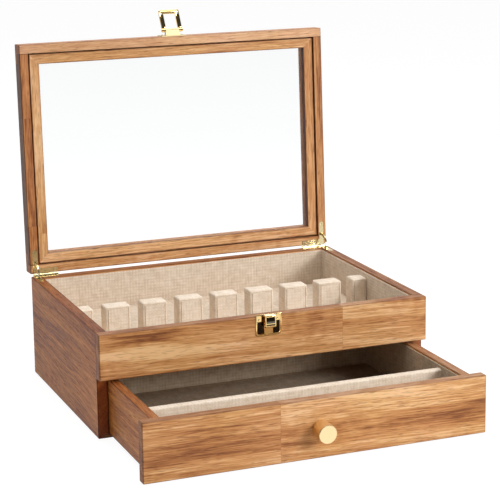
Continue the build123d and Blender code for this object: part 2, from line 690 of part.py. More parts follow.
# The loop hangs from the pin; its lower bar passes just under the hook of the catch plate.
with BuildPart() as latch_loop:
    with BuildSketch(facing_front(LOOP, LATCH_Y)) as loop_plan:
        with Locations((0, LATCH_Z)):
            Rectangle(2 * LOOP_HALF, LOOP_REACH + LOOP_END_BAR, align=(Align.CENTER, Align.MAX))
            Rectangle(LOOP_WINDOW, LOOP_REACH, align=(Align.CENTER, Align.MAX), mode=Mode.SUBTRACT)
        fillet(loop_plan.vertices().group_by(Axis.Y)[0], LOOP_CORNER)
    extrude(amount=LOOP_THICK / 2, both=True)
    fillet(latch_loop.edges(), LOOP_ROUND)
    for start in (-LOOP_HALF, LOOP_WINDOW / 2):
        with BuildSketch(facing_right(LOOP, start)):
            with Locations((LATCH_Y, LATCH_Z)):
                Circle(LATCH_KNUCKLE_RADIUS)
        extrude(amount=LOOP_BAR)
    with BuildSketch(facing_right(LOOP, 0)):
        with Locations((LATCH_Y, LATCH_Z)):
            Circle(LATCH_PIN_RADIUS + PIN_FIT)
    extrude(amount=LOOP_HALF, both=True, mode=Mode.SUBTRACT)
keep("latch_loop", latch_loop.part)

# ---- Drawer --------------------------------------------------------------------------------------------
with BuildPart() as drawer_bottom:
    with BuildSketch(at_height(DRAWER, DRAWER_FLOOR)):
        with Locations((0, DRAWER_INNER_FRONT - TONGUE)):
            Rectangle(
                2 * (DRAWER_INNER_HALF + TONGUE),
                DRAWER_INNER_BACK - DRAWER_INNER_FRONT + 2 * TONGUE,
                align=(Align.CENTER, Align.MIN),
            )
    extrude(amount=-DRAWER_BOTTOM_THICK)
keep("drawer_bottom", drawer_bottom.part)


def knob_screw(spare, head_radius, head_length):
    """Screw from the back of the drawer front into the knob."""
    seat_y = DRAWER_INNER_FRONT - KNOB_SCREW_SINK
    with BuildPart() as screw:
        with BuildSketch(facing_front(DRAWER, seat_y)):
            with Locations((0, KNOB_HEIGHT)):
                Circle(KNOB_SCREW_RADIUS + spare)
        extrude(amount=BOARD - KNOB_SCREW_SINK + KNOB_SCREW_GRIP + spare)
        with BuildSketch(facing_front(DRAWER, seat_y)):
            with Locations((0, KNOB_HEIGHT)):
                Circle(head_radius)
        extrude(amount=-head_length)
    return screw.part


keep("knob_screw", knob_screw(0, KNOB_SCREW_HEAD_RADIUS, KNOB_SCREW_HEAD_LENGTH))
knob_screw_hole = knob_screw(
    FASTENER_FIT, KNOB_SCREW_HEAD_RADIUS + KNOB_SCREW_HEAD_FIT, KNOB_SCREW_SINK
)

with BuildPart() as knob:
    with BuildSketch(facing_front(DRAWER, DRAWER_FACE)):
        with Locations((0, KNOB_HEIGHT)):
            Circle(KNOB_RADIUS)
    extrude(amount=KNOB_LENGTH)
    chamfer(knob.edges().group_by(Axis.Y)[0], KNOB_CHAMFER)
    add(knob_screw_hole, mode=Mode.SUBTRACT)
keep("knob", knob.part)

with BuildPart() as drawer_front:
    with BuildSketch(facing_front(DRAWER, DRAWER_INNER_FRONT)):
        with Locations((0, DRAWER_FRONT_GAP)):
            Rectangle(
                WIDTH, TRAY_FLOOR_BOTTOM - 2 * DRAWER_FRONT_GAP, align=(Align.CENTER, Align.MIN)
            )
    extrude(amount=BOARD)
    fillet(drawer_front.edges(), EDGE_ROUND)
    add([drawer_bottom.part, knob_screw_hole], mode=Mode.SUBTRACT)
keep("drawer_front", drawer_front.part)

with BuildPart() as drawer_side:
    with BuildSketch(at_height(DRAWER, DRAWER_LOW)):
        with Locations((DRAWER_INNER_HALF, DRAWER_INNER_FRONT)):
            Rectangle(DRAWER_BOARD, DRAWER_OUTER_BACK - DRAWER_INNER_FRONT, align=Align.MIN)
    extrude(amount=DRAWER_HIGH - DRAWER_LOW)
    upper_long_edges = drawer_side.edges().filter_by(Axis.Y).group_by(Axis.Z)[-1]
    fillet(upper_long_edges, DRAWER_EDGE_ROUND)
    add(drawer_bottom.part, mode=Mode.SUBTRACT)
keep_pair("drawer_side_SIDE", drawer_side.part)

with BuildPart() as drawer_back:
    with BuildSketch(at_height(DRAWER, DRAWER_LOW)):
        with Locations((-DRAWER_INNER_HALF, DRAWER_INNER_BACK)):
            Rectangle(2 * DRAWER_INNER_HALF, DRAWER_BOARD, align=Align.MIN)
    extrude(amount=DRAWER_HIGH - DRAWER_LOW)
    upper_long_edges = drawer_back.edges().filter_by(Axis.X).group_by(Axis.Z)[-1]
    fillet(upper_long_edges, DRAWER_EDGE_ROUND)
    add(drawer_bottom.part, mode=Mode.SUBTRACT)
keep("drawer_back", drawer_back.part)

with BuildPart() as drawer_lining_floor:
    with BuildSketch(at_height(DRAWER, DRAWER_FLOOR)):
        with Locations((-DRAWER_INNER_HALF, DRAWER_INNER_FRONT)):
            Rectangle(2 * DRAWER_INNER_HALF, DRAWER_INNER_BACK - DRAWER_INNER_FRONT, align=Align.MIN)
    extrude(amount=LINING)
keep("drawer_lining_floor", drawer_lining_floor.part)

DRAWER_LINED_FLOOR = DRAWER_FLOOR + LINING
line_box(
    "drawer_lining",
    DRAWER,
    DRAWER_LINED_FLOOR,
    DRAWER_LINING_TOP,
    DRAWER_INNER_HALF,
    DRAWER_INNER_FRONT,
    DRAWER_INNER_BACK,
)

with BuildPart() as drawer_divider:
    with BuildSketch(at_height(DRAWER, DRAWER_LINED_FLOOR)):
        with Locations((0, DRAWER_INNER_FRONT + DIVIDER_SETBACK)):
            Rectangle(
                2 * (DRAWER_INNER_HALF - LINING), DIVIDER_THICK, align=(Align.CENTER, Align.MIN)
            )
    extrude(amount=DIVIDER_HEIGHT)
    upper_long_edges = drawer_divider.edges().filter_by(Axis.X).group_by(Axis.Z)[-1]
    fillet(upper_long_edges, DIVIDER_ROUND)
keep("drawer_divider", drawer_divider.part)

# ---- One file for each piece -------------------------------------------------------------------------
os.makedirs("parts", exist_ok=True)
for name, part in pieces.items():
    export_step(part, f"parts/{name}.step")
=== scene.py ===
"""Wooden silverware chest, standing open: glazed lid thrown back, drawer pulled out.

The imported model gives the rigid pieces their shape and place. This scene dresses them in their
finishes, builds the linen-covered pieces and the small fasteners, and sets up a pale studio.
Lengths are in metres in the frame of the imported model: +X is right, -Y the front and +Z up.
"""

import logging
import math
from collections.abc import Callable, Sequence
from dataclasses import dataclass
from enum import Enum
from functools import partial
from typing import Self

import bmesh
import bpy
from mathutils import Matrix, Vector


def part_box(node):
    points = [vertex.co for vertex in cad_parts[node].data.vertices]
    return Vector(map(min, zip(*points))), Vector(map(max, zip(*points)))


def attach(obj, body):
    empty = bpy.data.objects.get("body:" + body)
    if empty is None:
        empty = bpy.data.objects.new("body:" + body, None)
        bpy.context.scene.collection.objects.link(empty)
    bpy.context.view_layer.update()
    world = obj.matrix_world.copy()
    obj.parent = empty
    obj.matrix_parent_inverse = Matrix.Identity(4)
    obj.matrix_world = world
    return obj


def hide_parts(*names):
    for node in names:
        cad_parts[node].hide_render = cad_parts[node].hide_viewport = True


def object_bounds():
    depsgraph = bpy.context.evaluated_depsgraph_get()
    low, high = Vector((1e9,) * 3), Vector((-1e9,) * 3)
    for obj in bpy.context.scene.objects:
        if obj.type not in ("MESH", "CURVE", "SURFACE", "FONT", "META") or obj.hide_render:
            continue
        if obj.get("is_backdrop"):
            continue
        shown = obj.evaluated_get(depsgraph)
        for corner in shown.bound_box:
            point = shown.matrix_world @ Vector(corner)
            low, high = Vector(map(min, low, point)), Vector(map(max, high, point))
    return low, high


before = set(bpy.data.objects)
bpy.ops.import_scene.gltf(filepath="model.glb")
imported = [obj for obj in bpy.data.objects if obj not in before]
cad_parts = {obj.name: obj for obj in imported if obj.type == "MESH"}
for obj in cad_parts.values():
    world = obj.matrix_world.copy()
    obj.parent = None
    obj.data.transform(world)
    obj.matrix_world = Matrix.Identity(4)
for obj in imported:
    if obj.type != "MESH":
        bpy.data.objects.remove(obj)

CAD_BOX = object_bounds()
LOG = logging.getLogger("silverware_chest")
MM = 0.001
NEAR = 0.1 * MM  # closer than this counts as touching
ALIGNED = 0.99  # cosine above which an edge, or what a face looks to, is in line with an axis

Socket = bpy.types.NodeSocket
Feed = Socket | float  # what an input of a node takes
Test = Callable[[Vector, Vector], bool]  # of a face's or edge's middle and its normal or direction

SIDES = ((-1, "left"), (1, "right"))
LINED_SIDES = ("floor", "front", "back", "left", "right")


# ---- The shut chest and how it opens --------------------------------------------------------
LID_AXIS = (140.0 * MM, 119.75 * MM)  # y and z of a line along X
LID_OPEN = 93.0
LATCH_AXIS = (-145.0 * MM, 128.5 * MM)
LATCH_BACK = 117.0
DRAWER_OUT = 141.0 * MM
FRONT_FACE = -138.0 * MM  # y of the wood under the latch
LATCH_PLATE = 1.0 * MM  # thickness of the plates on it


def swing(axis: tuple[float, float], angle: float) -> Matrix:
    """Turn by some degrees about a line along X, given by its y and z; below 0 it opens the lid."""
    place = Matrix.Translation((0, *axis))
    return place @ Matrix.Rotation(math.radians(angle), 4, "X") @ place.inverted()


class Body(Enum):
    """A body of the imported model: its name, and what carries it from the shut chest to rest."""

    CASE = ("case", Matrix.Identity(4))
    LID = ("lid", swing(LID_AXIS, -LID_OPEN))
    LOOP = ("loop", swing(LID_AXIS, -LID_OPEN) @ swing(LATCH_AXIS, -LATCH_BACK))
    DRAWER = ("drawer", Matrix.Translation((0, -DRAWER_OUT, 0)))

    def __init__(self, title: str, pose: Matrix) -> None:
        """Keep the body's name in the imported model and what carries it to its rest."""
        self.title = title
        self.pose = pose


class Axis(Enum):
    """A direction of the shut chest."""

    X = 0
    Y = 1
    Z = 2

    def unit(self) -> Vector:
        """A vector of length 1 along the axis."""
        return Vector([float(axis is self) for axis in Axis])


class Slot(Enum):
    """A kind of material slot: linen or brass."""

    LINEN = "linen"
    BRASS = "brass"


# ---- Materials: helpers ---------------------------------------------------------------------
def linear(colour: str) -> tuple[float, float, float, float]:
    """Turn an sRGB colour into a linear one.

    Args:
        colour: Hex value such as "#C48E58".

    Returns:
        Red, green, blue and an alpha of 1.
    """
    channels = [int(colour[i : i + 2], 16) / 255 for i in (1, 3, 5)]
    straight = [c / 12.92 if c <= 0.04045 else ((c + 0.055) / 1.055) ** 2.4 for c in channels]
    return (*straight, 1.0)


class Graph:
    """Shader nodes of one material or of the surroundings, while they are being built."""

    def __init__(self, owner: bpy.types.Material | bpy.types.World) -> None:
        """Start with no nodes.

        Args:
            owner: The material or world that the nodes belong to.
        """
        self.owner = owner
        owner.use_nodes = True
        self.tree = owner.node_tree
        self.tree.nodes.clear()

    def add(
        self,
        kind: str,
        inputs: dict[int | str, object] | Sequence[object] = (),
        output: int | str = 0,
        stops: Sequence[tuple[float, str]] = (),
        **settings: object,
    ) -> Socket | None:
        """Add a node with its settings and links.

        Args:
            kind: The node's type without the leading "ShaderNode".
            inputs: What feeds the node's sockets, each a value or an output socket: in order,
                or by the socket's name or number. The colours of a Mix node are sockets 6 and 7.
            output: The output socket to hand back. The colour of a Mix node is its socket 2.
            stops: Places and hex colours of a colour ramp.
            **settings: Properties of the node.

        Returns:
            The chosen output socket, or None where the node has none.
        """
        node = self.tree.nodes.new("ShaderNode" + kind)
        for setting, value in settings.items():
            setattr(node, setting, value)
        for socket, value in inputs.items() if isinstance(inputs, dict) else enumerate(inputs):
            if isinstance(value, Socket):
                self.tree.links.new(value, node.inputs[socket])
            else:
                node.inputs[socket].default_value = value
        for index, (place, colour) in enumerate(stops):
            ramp = node.color_ramp.elements
            stop = ramp[index] if index < 2 else ramp.new(place)
            stop.position = place
            stop.color = linear(colour)
        return node.outputs[output] if len(node.outputs) else None


def new_material(name: str) -> Graph:
    """Start the nodes of an empty material."""
    return Graph(bpy.data.materials.new(name))


@dataclass(frozen=True)
class Layer:
    """One layer of a natural pattern: soft noise about 0, stretched along the axes."""

    scale: tuple[float, ...]  # spots per metre along each axis
    detail: float = 1.0
    strength: float = 1.0
    rough: float = 0.5

    def noise(self, graph: Graph, place: Socket) -> Socket:
        """Add the layer by itself.

        Args:
            graph: The material under construction.
            place: Coordinates that the pattern follows.

        Returns:
            The noise, from about -0.5 to 0.5.
        """
        place = graph.add("VectorMath", (place, self.scale), operation="MULTIPLY")
        settings = {"Vector": place, "Scale": 1.0, "Detail": self.detail, "Roughness": self.rough}
        return graph.add("Math", (graph.add("TexNoise", settings), 0.5), operation="SUBTRACT")

    def over(self, graph: Graph, place: Socket, below: Feed) -> Socket:
        """Lay the layer, by its strength, over what is below it."""
        sockets = (self.noise(graph, place), self.strength, below)
        return graph.add("Math", sockets, operation="MULTIPLY_ADD")


# ---- Materials: wood ------------------------------------------------------------------------
@dataclass(frozen=True)
class Timber:
    """Acacia, planed, sanded and oiled.

    It gives the eye warm honey boards with long brown streaks, short dark pores and a low sheen.
    """

    name: str
    tones: tuple[str, ...] = ("#7F4A28", "#AD7443", "#C48D59", "#D29F6A", "#EBC294")
    places: tuple[float, ...] = (0, 0.28, 0.52, 0.74, 1)  # of the tones, from streak to pale wood
    rose: str = "#FFF8F4"  # tints that drift over the board
    amber: str = "#FFFAEC"
    drift: float = 14.0  # drifts per metre
    drift_range: tuple[float, float] = (0.35, 0.65)  # from all rose to all amber
    narrow: str = "#BCB4C4"  # what oil turns the narrow faces to
    end_grain: str = "#C2A281"
    dark: str = "#7A5340"  # what it turns the edges, pores and joints to
    edge_share: float = 0.75  # how far it turns each of them
    pore_share: float = 0.42
    joint_share: float = 0.2
    sanded: tuple[float, float] = (1.4 * MM, 0.2 * MM)  # how far from an edge the darkening starts, and where it is full
    roughness: float = 0.52
    pore_rough: float = 0.15  # rougher by this in a pore
    pore_depth: float = 0.2 * MM
    pore_relief: float = 0.3

    # how growth rings wander: scales along the fibres, across and through the board
    sway: Layer = Layer((4, 11, 11), 1, 0.042)
    waver: Layer = Layer((17, 50, 50), 1, 0.005)
    # what follows the rings: scales across them and along the fibres
    bands: Layer = Layer((48, 1.2, 7), 2, 1.6)  # about 20 mm wide
    streaks: Layer = Layer((210, 4, 7), 3, 1.3, 0.6)  # about 5 mm wide
    # what follows the fibres, drawn 1 to 1.5 mm wide and so coarser than the real ones, to show
    fibres: Layer = Layer((22, 650, 650), 3, 1.7, 0.75)
    pores: Layer = Layer((75, 900, 900))
    pore_range: tuple[float, float] = (0.08, 0.20)  # where a pore starts and is full
    # the rippled figure, 11 mm from crest to crest, and the patches where it shows
    ripples: Layer = Layer((90, 60, 60))
    patches: Layer = Layer((7, 18, 18))
    patch_range: tuple[float, float] = (-0.02, 0.12)


@dataclass(frozen=True)
class Mark:
    """A darker or lighter zone of a board, such as a streak of heartwood or a knot."""

    along: float  # its middle along and across the board
    across: float
    length: float  # half of its size
    width: float
    tone: float  # below 0 it is darker than the wood around it
    fade: float = 1.5  # where it has faded out, in halves of its size
    stray: float = 2.4  # how far its outline strays, in widths
    strays: float = 230.0  # per metre across the board, so one every 4 mm
    stretch: float = 0.12  # of that number along it, so one every 36 mm


@dataclass(frozen=True)
class Board:
    """How one board was cut: where its fibres run and where its patterns lie."""

    timber: Timber
    along: Axis
    across: Axis
    body: Body = Body.CASE
    seed: float = 0.0
    pith: tuple[float, float] = (-0.080, -0.050)  # heart of the tree, across and through the board
    lean: float = 0.02  # slope of the fibres against the board's edge
    curl: float = 0.5  # strength of the rippled figure
    tone: float = 0.0  # above 0, the whole board is lighter
    narrow: float = 0.8  # how much darker its narrow faces are
    marks: tuple[Mark, ...] = ()
    stave: float = 0.0  # length of the glued pieces that the board is made of, 0 for one piece
    stave_start: float = 0.0  # where one of their joints lies along the board
    stave_joint: float = 0.5 * MM  # breadth of a joint
    stave_contrast: float = 0.10  # by how much their tones differ
    stave_origin: tuple[float, float] = (3.0, 0.06)  # length and breadth of tree they come from


class Grain:
    """The figure and finish of one board, drawn as it lies in the shut chest."""

    def __init__(self, board: Board, name: str, low: Vector, high: Vector) -> None:
        """Start the board's material with its coordinates.

        Args:
            board: How the board was cut.
            name: Its name.
            low: Its lowest corner in the shut chest.
            high: Its highest corner in the shut chest.
        """
        self.board = board
        self.low, self.high = low, high
        self.graph = new_material(f"oiled_{board.timber.name}_{name}")
        source = self.graph.add("TexCoord").node.outputs
        back = board.body.pose.inverted()
        turn = back.to_euler()
        carried = {"Vector": source["Object"], "Location": back.translation, "Rotation": turn}
        turned = {"Vector": source["Normal"], "Rotation": turn}
        self.place = self.graph.add("Mapping", carried)
        self.normal = self.graph.add("Mapping", turned, vector_type="NORMAL")
        self.axes = list(self.graph.add("SeparateXYZ", (self.place,)).node.outputs)

    def material(self) -> bpy.types.Material:
        """Draw the board's figure and finish the wood.

        Returns:
            The finished material.
        """
        add, board, wood = self.graph.add, self.board, self.board.timber
        through = next(axis for axis in Axis if axis not in (board.along, board.across))
        u, v, w = (self.axes[axis.value] for axis in (board.along, board.across, through))
        chance: Feed = 0.5
        joint: Feed = 0.0
        if board.stave:
            u, v, chance, joint = self._staves(u, v)
        tone, pore = self._figure(u, v, w)
        for mark in board.marks:
            tone = self._marked(mark, tone)
        own_tone = board.tone - board.stave_contrast / 2
        own_tone = add("Math", (chance, board.stave_contrast, own_tone), operation="MULTIPLY_ADD")
        tone = add("Math", (tone, own_tone), operation="ADD")
        colour = add("ValToRGB", (tone,), stops=list(zip(wood.places, wood.tones)))
        drift = add("TexNoise", {"Vector": self.place, "Scale": wood.drift, "Detail": 1.0})
        drift = add("MapRange", (drift, *wood.drift_range))
        tints = {0: drift, 6: linear(wood.rose), 7: linear(wood.amber)}
        tint = add("Mix", tints, 2, data_type="RGBA")
        # oil soaks further into the narrow faces and the end grain, and the pores, joints and edges
        # are darker too. On the glazing beads' reveals and the left stile's outer edge, the dark
        # narrow tint is painted shade
        for share, darkest in (
            (1.0, tint),
            (self._facing(board.across, board.narrow), linear(wood.narrow)),
            (self._facing(board.along, 1.0), linear(wood.end_grain)),
            (self._shade(pore, joint), linear(wood.dark)),
        ):
            sockets = {0: share, 6: colour, 7: darkest}
            colour = add("Mix", sockets, 2, data_type="RGBA", blend_type="MULTIPLY")
        height = add("Math", (pore, -1.0), operation="MULTIPLY")
        relief = {"Strength": wood.pore_relief, "Distance": wood.pore_depth, "Height": height}
        rough = add("Math", (pore, wood.pore_rough, wood.roughness), operation="MULTIPLY_ADD")
        finish = {
            "Base Color": colour,
            "Roughness": rough,
            "Normal": add("Bump", relief),
            "IOR": 1.5,
            "Specular IOR Level": 0.3,  # low, since oil fills the pores only in part
        }
        add("OutputMaterial", (add("BsdfPrincipled", finish),))
        return self.graph.owner

    def _facing(self, axis: Axis, share: float) -> Socket:
        """Tell how far a face looks along an axis.

        Args:
            axis: The axis.
            share: What a face squarely along the axis gets.

        Returns:
            A value from 0 to the share.
        """
        add = self.graph.add
        facing = add("VectorMath", (self.normal, axis.unit()), "Value", operation="DOT_PRODUCT")
        facing = add("Math", (facing,), operation="ABSOLUTE")
        facing = add("Math", (facing, 6.0), operation="POWER")  # fades out at the rounded edges
        return add("Math", (facing, share), operation="MULTIPLY")

    def _staves(self, u: Socket, v: Socket) -> tuple[Socket, Socket, Socket, Socket]:
        """Shift the pattern from one glued piece to the next, and mark the joints between them.

        Args:
            u: Place along the fibres.
            v: Place across the board.

        Returns:
            Both places shifted, a chance value of each piece, and 1 in a joint or else 0.
        """
        add, board = self.graph.add, self.board
        count = add("Math", (u, board.stave_start), operation="SUBTRACT")
        count = add("Math", (count, board.stave), operation="DIVIDE")
        number = add("Math", (count,), operation="FLOOR")
        number = add("Math", (number, board.seed), operation="ADD")
        chance = add("TexWhiteNoise", {"W": number}, noise_dimensions="1D")
        inside = add("Math", (count, 0.5), operation="PINGPONG")
        half_joint = board.stave_joint / 2 / board.stave
        joint = add("Math", (inside, half_joint), operation="LESS_THAN")
        along, across = board.stave_origin
        moved_u = add("Math", (chance, along, u), operation="MULTIPLY_ADD")
        centred = add("Math", (chance, 0.5), operation="SUBTRACT")
        moved_v = add("Math", (centred, across, v), operation="MULTIPLY_ADD")
        return moved_u, moved_v, chance, joint

    def _figure(self, u: Socket, v: Socket, w: Socket) -> tuple[Socket, Socket]:
        """Draw the grain: growth rings in bands and streaks, fibres, pores and ripples.

        Args:
            u: Place along the fibres.
            v: Place across the board.
            w: Place through the board.

        Returns:
            The tone for the colour ramp, from 0 to 1, and how much a pore shows.
        """
        graph, add, board, wood = self.graph, self.graph.add, self.board, self.board.timber
        leaned = add("Math", (u, board.lean, v), operation="MULTIPLY_ADD")
        seeded = add("Math", (w, board.seed), operation="ADD")
        solid = add("CombineXYZ", (u, leaned, seeded))
        cross = add("CombineXYZ", (leaned, w, 0.0))
        ring = add("VectorMath", (cross, (*board.pith, 0)), "Value", operation="DISTANCE")
        ring = wood.sway.over(graph, solid, ring)
        ring = wood.waver.over(graph, solid, ring)
        rings = add("CombineXYZ", (ring, u, board.seed))
        tone = wood.bands.over(graph, rings, 0.5)
        tone = wood.streaks.over(graph, rings, tone)
        tone = wood.fibres.over(graph, solid, tone)
        patch = add("MapRange", (wood.patches.noise(graph, solid), *wood.patch_range))
        ripple = add("Math", (wood.ripples.noise(graph, solid), patch), operation="MULTIPLY")
        tone = add("Math", (ripple, board.curl, tone), operation="MULTIPLY_ADD")
        pore = add("MapRange", (wood.pores.noise(graph, solid), *wood.pore_range))
        return tone, pore

    def _marked(self, mark: Mark, tone: Socket) -> Socket:
        """Lay a mark over the tone, its outline drawn out along the fibres.

        Args:
            mark: The darker or lighter zone.
            tone: The tone so far.

        Returns:
            The tone with the mark in it.
        """
        add, board = self.graph.add, self.board
        u, v = self.axes[board.along.value], self.axes[board.across.value]
        drawn_out = add("Math", (u, mark.stretch), operation="MULTIPLY")
        place = add("CombineXYZ", (drawn_out, v, board.seed))
        outline = add("TexNoise", {"Vector": place, "Scale": mark.strays, "Detail": 2.0})
        outline = add("Math", (outline, 0.5), operation="SUBTRACT")
        v = add("Math", (outline, mark.stray * mark.width, v), operation="MULTIPLY_ADD")
        reach = []
        for point, middle, half in ((u, mark.along, mark.length), (v, mark.across, mark.width)):
            offset = add("Math", (point, middle), operation="SUBTRACT")
            reach.append(add("Math", (offset, half), operation="DIVIDE"))
        distance = add("VectorMath", (add("CombineXYZ", reach),), "Value", operation="LENGTH")
        sockets = (distance, 0.0, mark.fade, mark.tone, 0.0)
        inside = add("MapRange", sockets, interpolation_type="SMOOTHSTEP")
        return add("Math", (tone, inside), operation="ADD")

    def _shade(self, pore: Socket, joint: Feed) -> Socket:
        """Tell how much darker the wood is near its edges, in pores and in joints.

        Args:
            pore: How much a pore shows.
            joint: 1 in a joint between glued pieces.

        Returns:
            A value from 0 to 1.
        """
        add, wood = self.graph.add, self.board.timber
        middle, half = (self.low + self.high) / 2, (self.high - self.low) / 2
        inwards = add("VectorMath", (self.place, middle), operation="SUBTRACT")
        inwards = add("VectorMath", (inwards,), operation="ABSOLUTE")
        inwards = add("VectorMath", (half, inwards), operation="SUBTRACT")
        x, y, z = add("SeparateXYZ", (inwards,)).node.outputs
        # the middle one of the three distances from the faces is small only near an edge
        lesser = add("Math", (x, y), operation="MINIMUM")
        greater = add("Math", (x, y), operation="MAXIMUM")
        greater = add("Math", (greater, z), operation="MINIMUM")
        edge = add("Math", (lesser, greater), operation="MAXIMUM")
        shade = add("MapRange", (edge, *wood.sanded, 0.0, wood.edge_share))
        for spot, share in ((pore, wood.pore_share), (joint, wood.joint_share)):
            shade = add("Math", (spot, share, shade), operation="MULTIPLY_ADD")
        return add("Math", (shade, 1.0), operation="MINIMUM")


# ---- Materials: linen, brass, glass ---------------------------------------------------------
@dataclass(frozen=True)
class Linen:
    """Natural linen in plain weave, glued over card.

    It gives the eye a dry beige cloth with uneven, crossing threads. The threads of the real cloth
    lie 0.7 mm apart; they are drawn nearly three times as wide so that they show.
    """

    name: str = "plain_woven_natural_linen"
    dark: str = "#CCBAA4"
    middle: str = "#E4D4C1"
    light: str = "#F1E6D9"
    thread: float = 1.9 * MM
    slub: float = 9 * MM  # length of the thicker stretches of a thread
    unevenness: float = 0.62
    weave: float = 0.08  # how much the crossings of the threads show
    thickness: float = 0.25 * MM
    relief: float = 0.4
    roughness: float = 0.95

    def material(self) -> bpy.types.Material:
        """Build the cloth's material, woven along all three axes of the chest.

        Returns:
            The finished material.
        """
        graph = new_material(self.name)
        add = graph.add
        place = add("TexCoord", output="Object")
        axes = add("SeparateXYZ", (place,)).node.outputs
        slubs: Feed = 0.5
        waves = []
        for axis in Axis:
            # threads that lie side by side along one axis, long in the other two
            scale = tuple(1 / (self.thread if a is axis else self.slub) for a in Axis)
            slubs = Layer(scale, 1, self.unevenness).over(graph, place, slubs)
            phase = add("Math", (axes[axis.value], math.pi / self.thread), operation="MULTIPLY")
            waves.append(add("Math", (phase,), operation="SINE"))
        weave: Feed = 0.0
        for first, second in ((0, 1), (1, 2), (2, 0)):
            weave = add("Math", (waves[first], waves[second], weave), operation="MULTIPLY_ADD")
        tone = add("Math", (weave, self.weave, slubs), operation="MULTIPLY_ADD")
        stops = [(0.0, self.dark), (0.5, self.middle), (1.0, self.light)]
        colour = add("ValToRGB", (tone,), stops=stops)
        relief = {"Strength": self.relief, "Distance": self.thickness, "Height": tone}
        finish = {
            "Base Color": colour,
            "Roughness": self.roughness,
            "Normal": add("Bump", relief),
            "Specular IOR Level": 0.1,  # dry threads hardly shine
        }
        add("OutputMaterial", (add("BsdfPrincipled", finish),))
        return graph.owner


@dataclass(frozen=True)
class Metal:
    """Brass or zinc plate, polished or turned.

    It gives the eye a pale gold or silver that mirrors the studio, a little uneven from buffing.
    """

    name: str
    colour: str = "#EDCB8C"
    roughness: float = 0.07
    uneven: float = 0.06  # rougher by up to this where it is buffed less
    spots: float = 700.0  # of buffing per metre, so 1.4 mm wide
    waves: float = 240.0  # in the sheet per metre, so 4 mm wide
    waviness: float = 0.35
    wave_height: float = 0.08 * MM

    def material(self) -> bpy.types.Material:
        """Build the metal's material.

        Returns:
            The finished material.
        """
        graph = new_material(self.name)
        add = graph.add
        place = add("TexCoord", output="Object")
        buffed = add("TexNoise", {"Vector": place, "Scale": self.spots, "Detail": 2.0})
        rough = add("Math", (buffed, self.uneven, self.roughness), operation="MULTIPLY_ADD")
        wavy = add("TexNoise", {"Vector": place, "Scale": self.waves, "Detail": 1.0})
        relief = {"Strength": self.waviness, "Distance": self.wave_height, "Height": wavy}
        finish = {
            "Base Color": linear(self.colour),
            "Metallic": 1.0,
            "Roughness": rough,
            "Normal": add("Bump", relief),
        }
        add("OutputMaterial", (add("BsdfPrincipled", finish),))
        return graph.owner


@dataclass(frozen=True)
class Glass:
    """Clear float glass: it gives the eye next to nothing but a faint reflection."""

    name: str = "clear_float_glass"
    tint: str = "#FDFEFE"
    ior: float = 1.45

    def material(self) -> bpy.types.Material:
        """Build the glass, which lets the lamps through to what is behind it.

        Returns:
            The finished material.
        """
        graph = new_material(self.name)
        add = graph.add
        tint = linear(self.tint)
        finish = {
            "Base Color": tint,
            "Roughness": 0.0,
            "IOR": self.ior,
            "Transmission Weight": 1.0,
        }
        glass = add("BsdfPrincipled", finish)
        clear = add("BsdfTransparent", {"Color": tint})
        shadow = add("LightPath", output="Is Shadow Ray")
        add("OutputMaterial", (add("MixShader", (shadow, glass, clear)),))
        return graph.owner


# ---- Modelling: helpers ---------------------------------------------------------------------
def dress(material: bpy.types.Material, *names: str) -> None:
    """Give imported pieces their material.

    Args:
        material: Their finish.
        *names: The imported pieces.
    """
    for name in names:
        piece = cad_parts[name]
        piece.data.materials.clear()
        piece.data.materials.append(material)
        LOG.info("dressed %s in %s", name, material.name)


def dress_boards(boards: dict[str, Board]) -> None:
    """Give each packed board the material of its own cut."""
    for name, board in boards.items():
        dress(Grain(board, name, *shut_box(name, board.body)).material(), name)


def shut_box(name: str, body: Body) -> tuple[Vector, Vector]:
    """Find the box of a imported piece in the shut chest.

    Args:
        name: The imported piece.
        body: The body that it moves with.

    Returns:
        Its lowest and its highest corner.
    """
    back = body.pose.inverted()
    points = [back @ vertex.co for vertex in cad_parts[name].data.vertices]
    low = Vector(min(p[i] for p in points) for i in range(3))
    high = Vector(max(p[i] for p in points) for i in range(3))
    return low, high


def everywhere(middle: Vector, way: Vector) -> bool:
    """Choose every face or edge."""
    return True


def looking_up(middle: Vector, normal: Vector) -> bool:
    """Choose the faces that look straight up."""
    return normal.z > ALIGNED


def looking_forwards(middle: Vector, normal: Vector) -> bool:
    """Choose the faces that look straight to the front."""
    return normal.y < -ALIGNED


def runs_along(way: Vector, axis: Axis) -> bool:
    """Tell whether an edge of this direction runs along an axis."""
    return abs(way[axis.value]) > ALIGNED


class Element(Enum):
    """What is selected in edit mode."""

    FACE = "FACE"
    EDGE = "EDGE"


